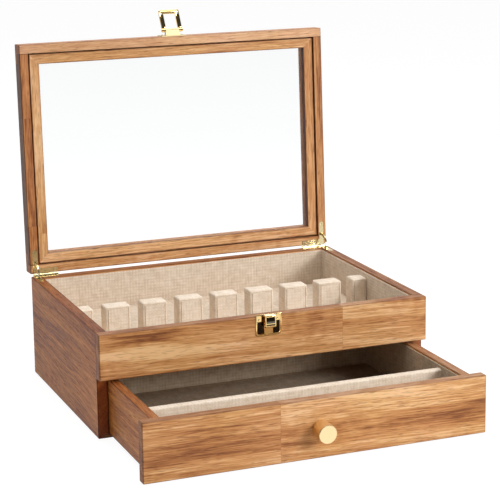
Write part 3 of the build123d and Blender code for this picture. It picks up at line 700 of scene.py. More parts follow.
class Bench:
    """One new piece under hand-like steps: a primitive, then edit-mode operators.

    Each step hands the bench back, so that steps can follow each other in one line.
    """

    def __init__(self, name: str) -> None:
        """Clear the bench for a piece.

        Args:
            name: The piece's name.
        """
        self.name = name
        self.piece: bpy.types.Object | None = None
        bpy.ops.object.select_all(action="DESELECT")

    def _claim(self) -> Self:
        """Take the primitive that was just added as this piece, its place in its mesh.

        Returns:
            The bench itself.
        """
        bpy.ops.object.transform_apply(location=True, rotation=True, scale=True)
        self.piece = bpy.context.object
        self.piece.name = self.name
        self.piece.data.name = self.name
        return self

    def box(self, low: Vector, high: Vector) -> Self:
        """Start from a box between two corners."""
        bpy.ops.mesh.primitive_cube_add(size=1, location=(low + high) / 2, scale=high - low)
        return self._claim()

    def rod(self, radius: float, foot: float, top: float) -> Self:
        """Start from an upright rod.

        Args:
            radius: Its radius.
            foot: Height of its lower end.
            top: Height of its upper end.

        Returns:
            The bench itself.
        """
        middle = (0, 0, (foot + top) / 2)
        bpy.ops.mesh.primitive_cylinder_add(
            vertices=24, radius=radius, depth=top - foot, location=middle
        )
        return self._claim()

    def edit(self, kind: Element, test: Test, work: Callable[[], object]) -> Self:
        """Select faces or edges by their place and direction, and work on them in edit mode.

        Args:
            kind: What is selected.
            test: Given a face's middle and normal, or an edge's middle and direction, chooses it.
            work: The edit-mode operators to run.

        Returns:
            The bench itself.
        """
        bpy.context.view_layer.objects.active = self.piece
        bpy.ops.object.mode_set(mode="EDIT")
        bpy.ops.mesh.select_mode(type=kind.value)
        bpy.ops.mesh.select_all(action="DESELECT")
        mesh = bmesh.from_edit_mesh(self.piece.data)
        if kind is Element.FACE:
            for face in mesh.faces:
                face.select_set(test(face.calc_center_median(), face.normal))
        else:
            for edge in mesh.edges:
                a, b = (vertex.co for vertex in edge.verts)
                edge.select_set(test((a + b) / 2, (b - a).normalized()))
        bmesh.update_edit_mesh(self.piece.data)
        work()
        bpy.ops.object.mode_set(mode="OBJECT")
        return self

    def cut(self, test: Test, axis: Axis, level: float) -> Self:
        """Cut the chosen faces with a plane square to an axis, at a level along it."""
        plane = {"plane_co": axis.unit() * level, "plane_no": axis.unit()}
        return self.edit(Element.FACE, test, partial(bpy.ops.mesh.bisect, **plane))

    def soften(self, test: Test, radius: float, segments: int) -> Self:
        """Round the chosen edges by a radius, in so many segments."""
        bevel = partial(bpy.ops.mesh.bevel, offset=radius, segments=segments)
        return self.edit(Element.EDGE, test, bevel)

    def extend(
        self, test: Test, way: tuple[float, float, float], widen: float | None = None
    ) -> Self:
        """Extrude the chosen faces.

        Args:
            test: Chooses the faces.
            way: How far they go.
            widen: What their far end is scaled by in X and Y.

        Returns:
            The bench itself.
        """

        def work() -> None:
            """Extrude and scale."""
            bpy.ops.mesh.extrude_region_move(TRANSFORM_OT_translate={"value": way})
            if widen is not None:
                bpy.ops.transform.resize(value=(widen, widen, 1))

        return self.edit(Element.FACE, test, work)

    def stamp(self, test: Test, *steps: tuple[float, float], finish: int = 0) -> Self:
        """Inset the chosen faces step by step.

        Args:
            test: Chooses the faces.
            *steps: Width and rise of each step; a rise below 0 sinks.
            finish: Number of the finish that the innermost faces get.

        Returns:
            The bench itself.
        """

        def work() -> None:
            """Inset, and change the finish."""
            for width, rise in steps:
                bpy.ops.mesh.inset(thickness=width, depth=rise)
            if finish:
                self.assign(finish)

        return self.edit(Element.FACE, test, work)

    def finishes(self, *materials: bpy.types.Material) -> Self:
        """Lay out finishes for the piece; the first one covers it.

        Args:
            *materials: The finishes.

        Returns:
            The bench itself.
        """
        for material in materials:
            self.piece.data.materials.append(material)
        return self

    def assign(self, number: int) -> None:
        """Give the faces selected in edit mode one of the finishes laid out, counted from 0."""
        self.piece.active_material_index = number
        bpy.ops.object.material_slot_assign()

    def copy(self, name: str, motion: Matrix) -> Self:
        """Copy the piece with its own mesh.

        Args:
            name: The copy's name.
            motion: What carries it to its place.

        Returns:
            A bench with the copy.
        """
        twin = Bench(name)
        twin.piece = bpy.data.objects.new(name, self.piece.data.copy())
        bpy.context.collection.objects.link(twin.piece)
        return twin.carry(motion)

    def carry(self, motion: Matrix) -> Self:
        """Carry the piece to another place within its mesh."""
        self.piece.data.transform(motion)
        return self

    def discard(self) -> None:
        """Throw away a pattern piece once its copies are made."""
        bpy.data.objects.remove(self.piece)

    def smooth(self, angle: float) -> Self:
        """Shade the piece smooth.

        Args:
            angle: Degrees past which an edge stays sharp.

        Returns:
            The bench itself.
        """
        bpy.ops.object.select_all(action="DESELECT")
        self.piece.select_set(True)
        bpy.context.view_layer.objects.active = self.piece
        bpy.ops.object.shade_smooth_by_angle(angle=math.radians(angle))
        return self

    def hand_over(
        self, material: bpy.types.Material, body: Body, slot: Slot, *replaced: str
    ) -> bpy.types.Object:
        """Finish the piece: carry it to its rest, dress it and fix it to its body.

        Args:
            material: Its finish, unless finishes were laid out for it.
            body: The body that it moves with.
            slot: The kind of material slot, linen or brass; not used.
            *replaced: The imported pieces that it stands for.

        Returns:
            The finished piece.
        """
        self.carry(body.pose)
        if not self.piece.data.materials:
            self.finishes(material)
        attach(self.piece, body.title)
        if replaced:
            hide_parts(*replaced)
        LOG.info("built %s on %s", self.name, body.title)
        return self.piece


# ---- The chest ------------------------------------------------------------------------------
@dataclass
class Carcass:
    """Boards of the carcass."""

    timber: Timber
    # a redder, darker copy of the acacia: painted shade on the sides that face away from the key
    # light
    shade_side_timber: Timber

    def boards(self) -> dict[str, Board]:
        """Say how each board was cut.

        Returns:
            The boards by name.
        """
        wood = self.timber
        x, y, z = Axis
        front_marks = (
            Mark(-0.142, 0.1120, 0.050, 0.007, -0.66),
            Mark(-0.120, 0.0860, 0.080, 0.014, 0.22),
            Mark(-0.050, 0.0880, 0.045, 0.007, 0.15),
            Mark(0.055, 0.0980, 0.040, 0.006, -0.28),
            Mark(0.160, 0.0900, 0.035, 0.008, 0.22),
        )
        side_marks = (Mark(0.0, 0.0600, 0.060, 0.040, -0.14),)
        return {
            # the left side is in the shaded copy of the acacia, its tone lowered too: painted shade
            "side_left": Board(
                self.shade_side_timber, y, z, seed=1.3, lean=-0.05, tone=-0.12, marks=side_marks
            ),
            "side_right": Board(wood, y, z, seed=2.9),
            "back_panel": Board(wood, x, z, seed=4.1, stave=0.26, stave_start=0.03),
            "front_panel": Board(
                wood,
                x,
                z,
                seed=5.5,
                tone=0.15,
                curl=0.8,
                stave=0.29,
                stave_start=0.090,
                marks=front_marks,
            ),
            "tray_floor": Board(wood, x, y, seed=6.7),
            "base_board": Board(wood, x, y, seed=7.9),
        }

    def build(self) -> None:
        """Dress the boards."""
        dress_boards(self.boards())


@dataclass
class Lining:
    """Linen folded over card, which lines one side of the tray or the drawer."""

    linen: bpy.types.Material
    fold: float = 0.5 * MM

    def build(self, node: str, body: Body) -> None:
        """Build the lining, its upper edges softened by the fold.

        Args:
            node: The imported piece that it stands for.
            body: The body that it moves with.
        """
        low, high = shut_box(node, body)
        bench = Bench(f"{node}_linen").box(low, high)
        bench.soften(lambda middle, way: middle.z > high.z - NEAR, self.fold, 3)
        bench.smooth(50).hand_over(self.linen, body, Slot.LINEN, node)


@dataclass
class LinedTray:
    """Linen linings of the tray and the rack of linen-covered blocks on them."""

    linen: bpy.types.Material
    # a darker copy of the block linen: painted shade on the tray's linings
    lining: bpy.types.Material
    blocks: int = 9
    round_over: float = 2.2 * MM
    foot: float = 1.0 * MM  # the edges below this stay sharp
    crease: tuple[float, float] = (0.6 * MM, 0.9 * MM)  # breadth and depth, round the front
    wrap: float = 0.35 * MM  # thickness of the cloth lapped over a block's front

    def build(self) -> None:
        """Build the linings and the blocks."""
        for side in LINED_SIDES:
            Lining(self.lining).build(f"tray_lining_{side}", Body.CASE)
        for number in range(1, self.blocks + 1):
            self.block(f"rack_block_{number}")

    def block(self, node: str) -> None:
        """Build one block: softened box with the cloth's lap standing proud on its front.

        Args:
            node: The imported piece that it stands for.
        """
        low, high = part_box(node)
        bench = Bench(f"{node}_linen").box(low + Vector((0, self.wrap, 0)), high)
        bench.soften(lambda middle, way: middle.z > low.z + self.foot, self.round_over, 4)
        breadth, depth = self.crease
        bench.stamp(looking_forwards, (breadth, -depth), (breadth, depth + self.wrap))
        piece = bench.smooth(30).hand_over(self.linen, Body.CASE, Slot.LINEN, node)


@dataclass
class Lid:
    """Glazed frame of the lid."""

    timber: Timber
    pale_timber: Timber
    # acacia whose narrow faces are tinted dark brown: painted shade on the left stile's outer edge
    shade_edged_stile_timber: Timber
    # acacia whose narrow faces are tinted dark: painted shade in the beads' reveals
    bead_timber: Timber
    glass: bpy.types.Material

    def boards(self) -> dict[str, Board]:
        """Say how each rail, stile and bead was cut.

        Returns:
            The boards by name.
        """
        wood, pale, dark, bead = self.timber, self.pale_timber, self.shade_edged_stile_timber, self.bead_timber
        rail = (Axis.X, Axis.Y, Body.LID)
        stile = (Axis.Y, Axis.X, Body.LID)
        rail_marks = (Mark(0.110, -0.1280, 0.100, 0.030, -0.20),)
        return {
            "lid_rail_front": Board(
                pale, *rail, seed=11.3, tone=0.25, narrow=0.4, marks=rail_marks
            ),
            "lid_rail_back": Board(wood, *rail, seed=12.1, tone=0.16),
            # its outer edge faces away from the key light and is tinted dark brown: painted shade
            "lid_stile_left": Board(
                dark, *stile, seed=13.4, tone=-0.33, stave=0.13, stave_start=-0.05
            ),
            "lid_stile_right": Board(wood, *stile, seed=14.8, tone=-0.14),
            "glazing_bead_front": Board(bead, *rail, seed=15.2, tone=0.06),
            "glazing_bead_back": Board(bead, *rail, seed=16.6, tone=0.42),
            "glazing_bead_left": Board(
                bead, *stile, seed=17.5, tone=0.34, stave=0.21, stave_start=0.09
            ),
            # its reveal faces away from the key light and takes the whole dark tint: painted shade
            "glazing_bead_right": Board(bead, *stile, seed=18.9, tone=0.18, narrow=1.0),
        }

    def build(self) -> None:
        """Dress the frame and its glass."""
        dress_boards(self.boards())
        dress(self.glass, "glass_pane")


@dataclass
class Screw:
    """Countersunk brass screw with a cross recess; the pattern hangs down from z = 0."""

    radius: float = 1.0 * MM
    length: float = 9.0 * MM
    head_radius: float = 1.9 * MM
    head_depth: float = 1.1 * MM
    slot: float = 0.24 * MM  # half of the recess's arm width
    reach: float = 1.15 * MM  # from the middle to an arm's end
    recess: float = 0.6 * MM  # its depth

    def pattern(self) -> Bench:
        """Model one screw.

        Returns:
            The bench with the pattern.
        """
        bench = Bench("screw_pattern").rod(self.radius, -self.length, -self.head_depth)
        bench.extend(looking_up, (0, 0, self.head_depth), self.head_radius / self.radius)
        for edge in (self.slot, self.reach):
            for axis in (Axis.X, Axis.Y):
                bench.cut(looking_up, axis, -edge).cut(looking_up, axis, edge)
        return bench.extend(self._in_cross, (0, 0, -self.recess)).smooth(30)

    def _in_cross(self, middle: Vector, normal: Vector) -> bool:
        """Choose the faces of the cross."""
        near, far = sorted((abs(middle.x), abs(middle.y)))
        return looking_up(middle, normal) and near < self.slot and far < self.reach


@dataclass
class Nail:
    """Brass nail with a flat round head; the pattern hangs down from z = 0, its head above."""

    radius: float = 0.6 * MM
    length: float = 8.0 * MM
    head_radius: float = 1.3 * MM
    head_height: float = 0.54 * MM

    def pattern(self) -> Bench:
        """Model one nail.

        Returns:
            The bench with the pattern.
        """
        bench = Bench("nail_pattern").rod(self.radius, -self.length, 0.0)
        bench.extend(looking_up, (0, 0, 0), self.head_radius / self.radius)
        return bench.extend(looking_up, (0, 0, self.head_height)).smooth(60)


@dataclass
class QuadrantHinges:
    """Brass leaves, pins, curved stays and their countersunk screws."""

    brass: bpy.types.Material
    screw_places: tuple[tuple[float, float], ...] = (  # x and y in the right-hand corner
        (167.0 * MM, 135.0 * MM),
        (176.6 * MM, 135.0 * MM),
        (188.6 * MM, 112.0 * MM),
    )
    lower_face: float = 119.5 * MM  # of the leaf on the carcass
    upper_face: float = 120.0 * MM  # of the leaf on the lid
    screw_turn: float = 0.7  # radians from one screw to the next, as the driver left them

    def build(self) -> None:
        """Dress the hinges and drive their screws."""
        pieces = ("hinge_body_leaf", "hinge_lid_leaf", "hinge_pin", "hinge_stay")
        dress(self.brass, *(f"{piece}_{name}" for piece in pieces for _, name in SIDES))
        pattern = Screw().pattern()
        upright, flipped = Matrix.Identity(4), Matrix.Rotation(math.pi, 4, "X")
        for node, body, face, turn in (
            ("hinge_body_screws", Body.CASE, self.lower_face, upright),
            ("hinge_lid_screws", Body.LID, self.upper_face, flipped),
        ):
            for side, name in SIDES:
                for number, (x, y) in enumerate(self.screw_places, start=1):
                    place = Matrix.Translation((side * x, y, face))
                    spin = Matrix.Rotation(self.screw_turn * number + side, 4, "Z")
                    twin = pattern.copy(f"{node}_{name}_{number}", place @ turn @ spin)
                    twin.hand_over(self.brass, body, Slot.BRASS, node)
        pattern.discard()


@dataclass
class CatchPlate:
    """Plate of the catch on the carcass, with a raised rim and two pockets painted with a dark
    reflection.
    """

    brass: bpy.types.Material
    # near-black brass, a painted dark reflection
    dark: bpy.types.Material
    corner: float = 4.3 * MM  # radius of its two lower corners
    edge: float = 0.3 * MM
    rim: float = 1.3 * MM
    field: float = 0.25 * MM  # how far it is sunk inside the rim
    land: float = 4.8 * MM  # half of what stays level between the pockets
    pocket_top: float = 7.6 * MM  # below the plate's upper edge
    pocket_slope: float = 0.3 * MM
    pocket: float = 0.5 * MM  # its depth

    def build(self) -> None:
        """Cut the plate, and stamp its rim and its pockets."""
        low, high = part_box("catch_plate")
        face, top = high.y - LATCH_PLATE, high.z - self.pocket_top

        def in_field(middle: Vector, normal: Vector) -> bool:
            """Choose the faces inside the rim."""
            return looking_forwards(middle, normal) and middle.y > face + self.field - NEAR / 2

        def in_pocket(middle: Vector, normal: Vector) -> bool:
            """Choose the faces of the pockets."""
            return in_field(middle, normal) and abs(middle.x) > self.land and middle.z < top

        bench = Bench("catch_plate_stamped").box(Vector((low.x, face, low.z)), high)
        bench.soften(
            lambda middle, way: runs_along(way, Axis.Y) and middle.z < low.z + NEAR, self.corner, 8
        )
        bench.soften(lambda middle, way: middle.y < face + NEAR, self.edge, 2)
        bench.stamp(looking_forwards, (self.rim, 0.0), (self.field, -self.field))
        for axis, level in ((Axis.X, -self.land), (Axis.X, self.land), (Axis.Z, top)):
            bench.cut(in_field, axis, level)
        bench.finishes(self.brass, self.dark)
        slope = self.pocket_slope
        # the pockets take the near-black brass: a painted dark reflection
        bench.stamp(in_pocket, (slope, 0.0), (slope, -self.pocket), finish=1)
        bench.smooth(30).hand_over(self.brass, Body.CASE, Slot.BRASS, "catch_plate")


@dataclass
class CatchHook:
    """Hook of the catch: a strip bent out from the plate and down, its lower lip turned in."""

    brass: bpy.types.Material
    dark: bpy.types.Material
    dim: bpy.types.Material
    width: float = 12.5 * MM
    height: float = 14.0 * MM
    metal: float = 1.2 * MM
    lip: float = 1.6 * MM
    bend: float = 1.3 * MM  # radius of the bends
    border: float = 0.8 * MM  # round the panel in its face
    panel_step: tuple[float, float] = (0.25 * MM, -0.1 * MM)
    margin: float = 2.35 * MM  # from the hook's ends to the panel's
    steps: int = 4
    lean: float = 0.7 * MM  # how far back the panel's top leans
    dim_band: tuple[float, float] = (2.4 * MM, 4.7 * MM)  # above the panel's lower end: the dim band of a painted reflection, bright brass below it and near-black above
    nearly: float = 0.97  # cosine above which a face belongs to the front, though it leans

    def __post_init__(self) -> None:
        """Find the hook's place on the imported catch."""
        low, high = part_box("catch_plate")
        self.outer, self.inner = low.y, low.y + self.metal
        self.foot, self.top = high.z - self.height, high.z
        self.reach = high.y - LATCH_PLATE - self.inner  # from the strip back to the plate

    def build(self) -> None:
        """Bend the strip, and press a panel into its face that leans back towards its top."""
        half = self.width / 2
        bench = Bench("catch_hook_bent")
        bench.box(Vector((-half, self.outer, self.foot)), Vector((half, self.inner, self.top)))
        shoulder, lip = self.top - self.metal, self.foot + self.metal
        bench.cut(everywhere, Axis.Z, shoulder).cut(everywhere, Axis.Z, lip)
        bench.extend(self._back(shoulder, self.top), (0, self.reach, 0))
        bench.extend(self._back(self.foot, lip), (0, self.lip, 0))
        bench.soften(self._at_bend, self.bend, 5)
        bench.edit(Element.FACE, self._on_front, bpy.ops.mesh.dissolve_faces)
        bench.stamp(self._on_front, (self.border, 0.0), self.panel_step)
        self._lean_back(bench)
        # the panel is painted as a reflection: bright brass at its foot, dim brass above it,
        # near-black at its top
        bench.finishes(self.brass, self.dark, self.dim)
        start, end = (self.foot + self.margin + height for height in self.dim_band)
        for finish, bottom, top in ((2, start, end), (0, self.foot, start), (1, end, self.top)):
            bench.edit(Element.FACE, self._panel(bottom, top), partial(bench.assign, finish))
        bench.smooth(35).hand_over(self.brass, Body.CASE, Slot.BRASS, "catch_plate")

    def _lean_back(self, bench: Bench) -> None:
        """Lean the panel back, ever more towards its top.

        Args:
            bench: The bench with the hook.
        """
        bottom, top = self.foot + self.margin, self.top - self.margin
        levels = [bottom + (top - bottom) * step / self.steps for step in range(1, self.steps + 1)]
        for level in levels[:-1]:
            bench.cut(self._on_panel, Axis.Z, level)
        for step, level in enumerate(levels, start=1):
            way = (0, self.lean * (step / self.steps) ** 2, 0)
            move = partial(bpy.ops.transform.translate, value=way)
            bench.edit(Element.EDGE, self._panel_row(level), move)

    def _at_bend(self, middle: Vector, way: Vector) -> bool:
        """Choose the two edges of the front where the strip bends."""
        to_end = min(self.top - middle.z, middle.z - self.foot)
        return runs_along(way, Axis.X) and middle.y < self.outer + NEAR and to_end < NEAR

    def _on_front(self, middle: Vector, normal: Vector) -> bool:
        """Choose the faces of the front."""
        return normal.y < -self.nearly and middle.y < self.inner

    def _on_panel(self, middle: Vector, normal: Vector) -> bool:
        """Choose the faces of the panel."""
        return normal.y < -self.nearly and middle.y > self.outer + NEAR / 2

    def _panel(self, bottom: float, top: float) -> Test:
        """Make the choice of the panel's faces between two heights."""
        return lambda middle, normal: self._on_panel(middle, normal) and bottom < middle.z < top

    def _back(self, bottom: float, top: float) -> Test:
        """Make the choice of the back's faces between two heights."""
        return lambda middle, normal: normal.y > ALIGNED and bottom < middle.z < top

    def _panel_row(self, level: float) -> Test:
        """Make the choice of the edges that cross the panel at a height.

        Args:
            level: The height.

        Returns:
            The choice.
        """

        def in_row(middle: Vector, way: Vector) -> bool:
            """Choose the edges of the row."""
            on_panel = self.outer + NEAR / 2 < middle.y < self.inner - NEAR / 2
            return on_panel and runs_along(way, Axis.X) and abs(middle.z - level) < 3 * NEAR

        return in_row


@dataclass
class LatchLoop:
    """Loop of the latch: its wire flattened into two broad bars, its end bar rolled round."""

    brass: bpy.types.Material
    end_radius: float = 1.7 * MM
    end_height: float = 2.5 * MM  # of its middle, above the loop's lower edge
    end_gap: float = 2.0 * MM  # how much shorter it is than the loop is wide
    end_round: float = 0.8 * MM
    bar_edge: float = 0.45 * MM
    bar_inner: float = 7.6 * MM  # from the chest's middle to a bar
    bar_half: float = 1.2 * MM  # half of a bar's thickness
    bar_foot: float = 3.4 * MM  # above the loop's lower edge
    bar_top: float = 3.2 * MM  # below the latch's axis

    def build(self) -> None:
        """Dress the loop, and build its rolled end and its bars."""
        dress(self.brass, "latch_pin", "latch_loop")
        low, high = shut_box("latch_loop", Body.LOOP)
        self._rolled_end(low, high)
        y, z = LATCH_AXIS
        for (side, name), outer in zip(SIDES, (low.x, high.x)):
            left, right = sorted((side * self.bar_inner, outer))
            bench = Bench(f"latch_loop_bar_{name}").box(
                Vector((left, y - self.bar_half, low.z + self.bar_foot)),
                Vector((right, y + self.bar_half, z - self.bar_top)),
            )
            bench.soften(everywhere, self.bar_edge, 2)
            bench.smooth(35).hand_over(self.brass, Body.LOOP, Slot.BRASS)

    def _rolled_end(self, low: Vector, high: Vector) -> None:
        """Roll the loop's end bar round.

        Args:
            low: Lowest corner of the loop.
            high: Highest corner of the loop.
        """
        half = (high.x - low.x - self.end_gap) / 2
        bench = Bench("latch_loop_rolled_end").rod(self.end_radius, -half, half)
        bench.soften(lambda middle, way: not runs_along(way, Axis.Z), self.end_round, 4)
        place = Matrix.Translation((0, LATCH_AXIS[0], low.z + self.end_height))
        bench.carry(place @ Matrix.Rotation(math.pi / 2, 4, "Y"))
        bench.smooth(50).hand_over(self.brass, Body.LOOP, Slot.BRASS)


@dataclass
class Latch:
    """Catch on the carcass, plate and loop on the lid, and their nails."""

    brass: bpy.types.Material
    satin: bpy.types.Material
    dark: bpy.types.Material
    dim: bpy.types.Material
    nail_x: float = 10.875 * MM
    catch_nail_z: float = 114.875 * MM
    plate_nail_z: float = 135.1 * MM

    def build(self) -> None:
        """Dress the plate, build catch and loop, and drive the nails."""
        dress(self.satin, "latch_plate")
        CatchPlate(self.brass, self.dark).build()
        CatchHook(self.brass, self.dark, self.dim).build()
        LatchLoop(self.brass).build()
        pattern = Nail().pattern()
        lying = Matrix.Rotation(math.pi / 2, 4, "X")
        for node, body, z in (
            ("catch_nails", Body.CASE, self.catch_nail_z),
            ("latch_nails", Body.LID, self.plate_nail_z),
        ):
            for side, name in SIDES:
                place = Matrix.Translation((side * self.nail_x, FRONT_FACE - LATCH_PLATE, z))
                twin = pattern.copy(f"{node}_{name}", place @ lying)
                twin.hand_over(self.brass, body, Slot.BRASS, node)
        pattern.discard()


@dataclass
class DrawerBox:
    """Drawer with its linen, divider and knob."""

    timber: Timber
    # a redder, darker copy of the acacia: painted shade on the side that faces away from the key
    # light
    shade_side_timber: Timber
    linen: bpy.types.Material
    # a darker copy of the linen: painted shade inside the drawer
    shaded_linen: bpy.types.Material
    brass: bpy.types.Material
    steel: bpy.types.Material
    round_over: float = 1.8 * MM  # of the divider

    def boards(self) -> dict[str, Board]:
        """Say how each board was cut.

        Returns:
            The boards by name.
        """
        wood = self.timber
        x, y, z = Axis
        front_marks = (
            Mark(-0.145, 0.0300, 0.090, 0.030, -0.31),
            Mark(-0.130, 0.0490, 0.060, 0.006, -0.30),
            Mark(-0.085, 0.0610, 0.040, 0.004, 0.30),
            Mark(0.120, 0.0270, 0.075, 0.005, -0.30),
            Mark(0.175, 0.0300, 0.040, 0.030, -0.26),
            Mark(0.095, 0.0620, 0.030, 0.004, 0.32),
        )
        return {
            "drawer_front": Board(
                wood,
                x,
                z,
                Body.DRAWER,
                seed=9.9,
                tone=0.05,
                stave=0.25,
                stave_start=-0.045,
                marks=front_marks,
            ),
            # the drawer's left side is in the shaded copy, its tone lowered too: painted shade
            "drawer_side_left": Board(self.shade_side_timber, y, z, Body.DRAWER, seed=22.4, tone=-0.10),
            "drawer_side_right": Board(wood, y, z, Body.DRAWER, seed=23.8),
            "drawer_back": Board(wood, x, z, Body.DRAWER, seed=24.9),
            "drawer_bottom": Board(wood, x, y, Body.DRAWER, seed=25.1),
        }

    def build(self) -> None:
        """Dress the boards and the knob, and build the linen."""
        dress_boards(self.boards())
        for side in LINED_SIDES:
            # all but the front lining take the darker linen: painted shade where the tray and the
            # drawer's sides keep the light out
            linen = self.linen if side == "front" else self.shaded_linen
            Lining(linen).build(f"drawer_lining_{side}", Body.DRAWER)
        self.divider("drawer_divider")
        dress(self.brass, "knob")
        dress(self.steel, "knob_screw")

    def divider(self, node: str) -> None:
        """Build the linen-covered divider with soft upper edges.

        Args:
            node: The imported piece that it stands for.
        """
        low, high = shut_box(node, Body.DRAWER)
        bench = Bench(f"{node}_linen").box(low, high)
        bench.soften(
            lambda middle, way: runs_along(way, Axis.X) and middle.z > high.z - NEAR,
            self.round_over,
            4,
        )
        piece = bench.smooth(50).hand_over(self.linen, Body.DRAWER, Slot.LINEN, node)


# ---- The studio -----------------------------------------------------------------------------
@dataclass(frozen=True)
class Softbox:
    """Square softbox."""

    name: str
    place: tuple[float, float, float]
    aim: tuple[float, float, float]
    size: float
    power: float  # in watts

    def hang(self) -> None:
        """Hang the lamp at its place, facing its aim."""
        light = bpy.data.lights.new(self.name, "AREA")
        light.size = self.size
        light.energy = self.power
        lamp = bpy.data.objects.new(self.name, light)
        lamp.location = self.place
        way = Vector(self.aim) - Vector(self.place)
        lamp.rotation_euler = way.to_track_quat("-Z", "Y").to_euler()
        bpy.context.scene.collection.objects.link(lamp)


@dataclass(frozen=True)
class PhotoCamera:
    """Camera that stands where the photograph was taken from."""

    focal_length: float = 127.27  # in millimetres
    sensor: float = 36.0
    shift: float = -0.1  # lifts the chest in the picture
    place: tuple[float, float, float] = (-0.71009, -1.87739, 0.64538)
    right: tuple[float, float, float] = (0.92848, -0.37118, -0.01230)
    up: tuple[float, float, float] = (0.08775, 0.18707, 0.97842)

    def set_up(self) -> None:
        """Place the camera and look through it."""
        lens = bpy.data.cameras.new("photo_camera")
        lens.sensor_width = self.sensor
        lens.lens = self.focal_length
        lens.shift_y = self.shift
        camera = bpy.data.objects.new("photo_camera", lens)
        right, up = Vector(self.right), Vector(self.up)
        turned = Matrix((right, up, right.cross(up))).transposed().to_4x4()
        camera.matrix_world = Matrix.Translation(self.place) @ turned
        bpy.context.scene.collection.objects.link(camera)
        bpy.context.scene.camera = camera


@dataclass
class Studio:
    """Pale floor, soft light and white surroundings."""

    ambient: float = 0.22
    through_glass: float = 1.12  # makes up for what the pane reflects away
    floor_paint: str = "#E7E7E7"
    floor_shade: str = "#6F6F6F"  # what light adds to the glow, and a shadow takes away
    floor_glow: float = 0.94
    floor_size: float = 12.0
    floor_middle: tuple[float, float, float] = (0, 2, -0.2 * MM)
    dark_part: float = 0.05  # of the white, where metal mirrors the dark half of the studio
    dark_sky: tuple[float, float] = (-0.25, 0.15)  # y of a direction, from dark to white
    dark_floor: tuple[float, float] = (-1.3, -0.9)  # y of a place, from dark to white
    lamps: tuple[Softbox, ...] = (
        Softbox("key_softbox", (1.46, -2.04, 1.03), (0, -0.10, 0.10), 0.8, 46.0),
        Softbox("top_softbox", (0.15, 0.10, 2.2), (0, -0.05, 0.10), 1.3, 34.0),
    )

    def build(self) -> None:
        """Set up everything around the chest."""
        self.surroundings()
        self.floor()
        for lamp in self.lamps:
            lamp.hang()
        PhotoCamera().set_up()
        bpy.context.scene.view_settings.view_transform = "Standard"

    @staticmethod
    def _by_ray(
        graph: Graph, path: bpy.types.Node, value: Feed, shown: dict[str, Feed]
    ) -> Socket:
        """Give some kinds of ray another value than the rest.

        Args:
            graph: The nodes under construction.
            path: The Light Path node.
            value: What the other rays get.
            shown: What each kind of ray gets; a later one counts for more.

        Returns:
            The value by kind of ray.
        """
        for ray, other in shown.items():
            sockets = {0: path.outputs[ray], 2: value, 3: other}
            value = graph.add("Mix", sockets, data_type="FLOAT")
        return value

    def surroundings(self) -> None:
        """Light the scene evenly, show white to the camera and a half-dark studio to the metal."""
        world = bpy.data.worlds.new("studio_surroundings")
        bpy.context.scene.world = world
        graph = Graph(world)
        # the white backdrop stands behind the chest; in front of it and above, the studio is dark
        direction = graph.add("TexCoord", output="Generated")
        backwards = graph.add("SeparateXYZ", (direction,), 1)
        mirrored = graph.add("MapRange", (backwards, *self.dark_sky, self.dark_part, 1.0))
        shown = {
            "Is Glossy Ray": mirrored,
            "Is Transmission Ray": self.through_glass,
            "Is Camera Ray": 1.0,
        }
        path = graph.add("LightPath").node
        strength = self._by_ray(graph, path, self.ambient, shown)
        light = graph.add("Background", {"Color": linear("#FFFFFF"), "Strength": strength})
        graph.add("OutputWorld", (light,))

    def floor(self) -> None:
        """Lay a white floor that shows only a faint shadow of the chest to the camera."""
        bpy.ops.object.select_all(action="DESELECT")
        bpy.ops.mesh.primitive_plane_add(size=self.floor_size, location=self.floor_middle)
        bpy.ops.object.transform_apply(location=True, rotation=True, scale=True)
        floor = bpy.context.object
        floor.name = "studio_floor"
        floor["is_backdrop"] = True
        graph = new_material("white_painted_floor")
        paint = graph.add("BsdfDiffuse", {"Color": linear(self.floor_paint)})
        faint = graph.add("BsdfDiffuse", {"Color": linear(self.floor_shade)})
        place = graph.add("TexCoord", output="Object")
        backwards = graph.add("SeparateXYZ", (place,), 1)
        mirrored = graph.add("MapRange", (backwards, *self.dark_floor, self.dark_part, 1.0))
        path = graph.add("LightPath").node
        shown = {"Is Glossy Ray": mirrored, "Is Transmission Ray": self.floor_glow}
        shine = self._by_ray(graph, path, self.floor_glow, shown)
        glow = graph.add("Emission", {"Color": linear("#FFFFFF"), "Strength": shine})
        shadowed = graph.add("AddShader", (faint, glow))
        seen: Feed = 0.0
        for ray in ("Is Camera Ray", "Is Transmission Ray", "Is Glossy Ray"):
            seen = graph.add("Math", (seen, path.outputs[ray]), operation="MAXIMUM")
        graph.add("OutputMaterial", (graph.add("MixShader", (seen, paint, shadowed)),))
        floor.data.materials.append(graph.owner)


def write_sizes() -> None:
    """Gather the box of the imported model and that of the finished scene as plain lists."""
    boxes = {"cad": CAD_BOX, "visual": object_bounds()}
    plain = {name: [list(corner) for corner in box] for name, box in boxes.items()}


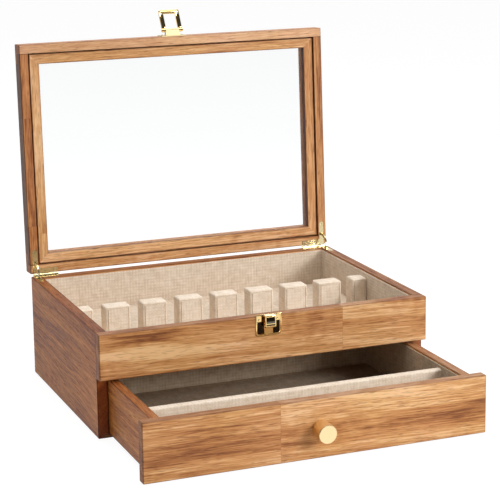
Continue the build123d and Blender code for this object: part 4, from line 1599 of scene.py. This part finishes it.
def main() -> None:
    """Build the chest and its studio."""
    logging.basicConfig(level=logging.INFO, format="%(name)s: %(message)s")
    acacia = Timber("acacia")
    # a redder, darker copy of the acacia that paints the shade on the left sides
    shade_side_acacia = Timber("shade_painted_acacia", rose="#F6CF9A", amber="#F6D6A0")
    pale = Timber("pale_acacia", ("#8F5C39", "#BD8960", "#CD9D76", "#D9AC85", "#E9C29F"))
    # narrow faces tinted dark brown: painted shade on the left stile's outer edge, which faces away
    # from the key light
    shade_edged_stile = Timber("shade_painted_edge_acacia", rose="#FFF0E6", amber="#FFF2E2", narrow="#6A5542")
    # narrow faces tinted dark mauve brown: painted shade in the reveals and gaps of the glazing
    # beads
    shade_edged_bead = Timber("shade_edged_bead_acacia", narrow="#75555F")
    # one linen in three copies: the palest on the rack and the divider, where the light falls, and
    # darker copies that paint the shade on the tray's linings and inside the drawer
    linen = Linen().material()
    lining = Linen("plain_woven_shade_painted_lining_linen", "#C0AC95", "#D6C5B1", "#E6D9CB").material()
    shaded = Linen("plain_woven_shade_painted_drawer_linen", "#9A8872", "#B2A18B", "#C4B6A2").material()
    polished = Metal("polished_brass_plate").material()
    rolled = Metal("pale_rolled_brass", colour="#E4D4A4", roughness=0.18).material()
    satin = Metal("satin_rolled_brass", colour="#CABA90", roughness=0.42).material()
    turned = Metal("satin_turned_brass", colour="#F6DDAA", roughness=0.3).material()
    # near-black and dim copies of the brass, which paint reflections on the catch
    dark = Metal("reflection_painted_dark_brass", colour="#2E241A", roughness=0.15).material()
    dim = Metal("reflection_painted_dim_brass", colour="#6F6C5C", roughness=0.2).material()
    steel = Metal("zinc_plated_steel", colour="#C9CBCD", roughness=0.3).material()
    Carcass(acacia, shade_side_acacia).build()
    LinedTray(linen, lining).build()
    Lid(acacia, pale, shade_edged_stile, shade_edged_bead, Glass().material()).build()
    QuadrantHinges(rolled).build()
    Latch(polished, satin, dark, dim).build()
    DrawerBox(acacia, shade_side_acacia, linen, shaded, turned, steel).build()
    Studio().build()
    write_sizes()


if __name__ == "__main__":
    main()
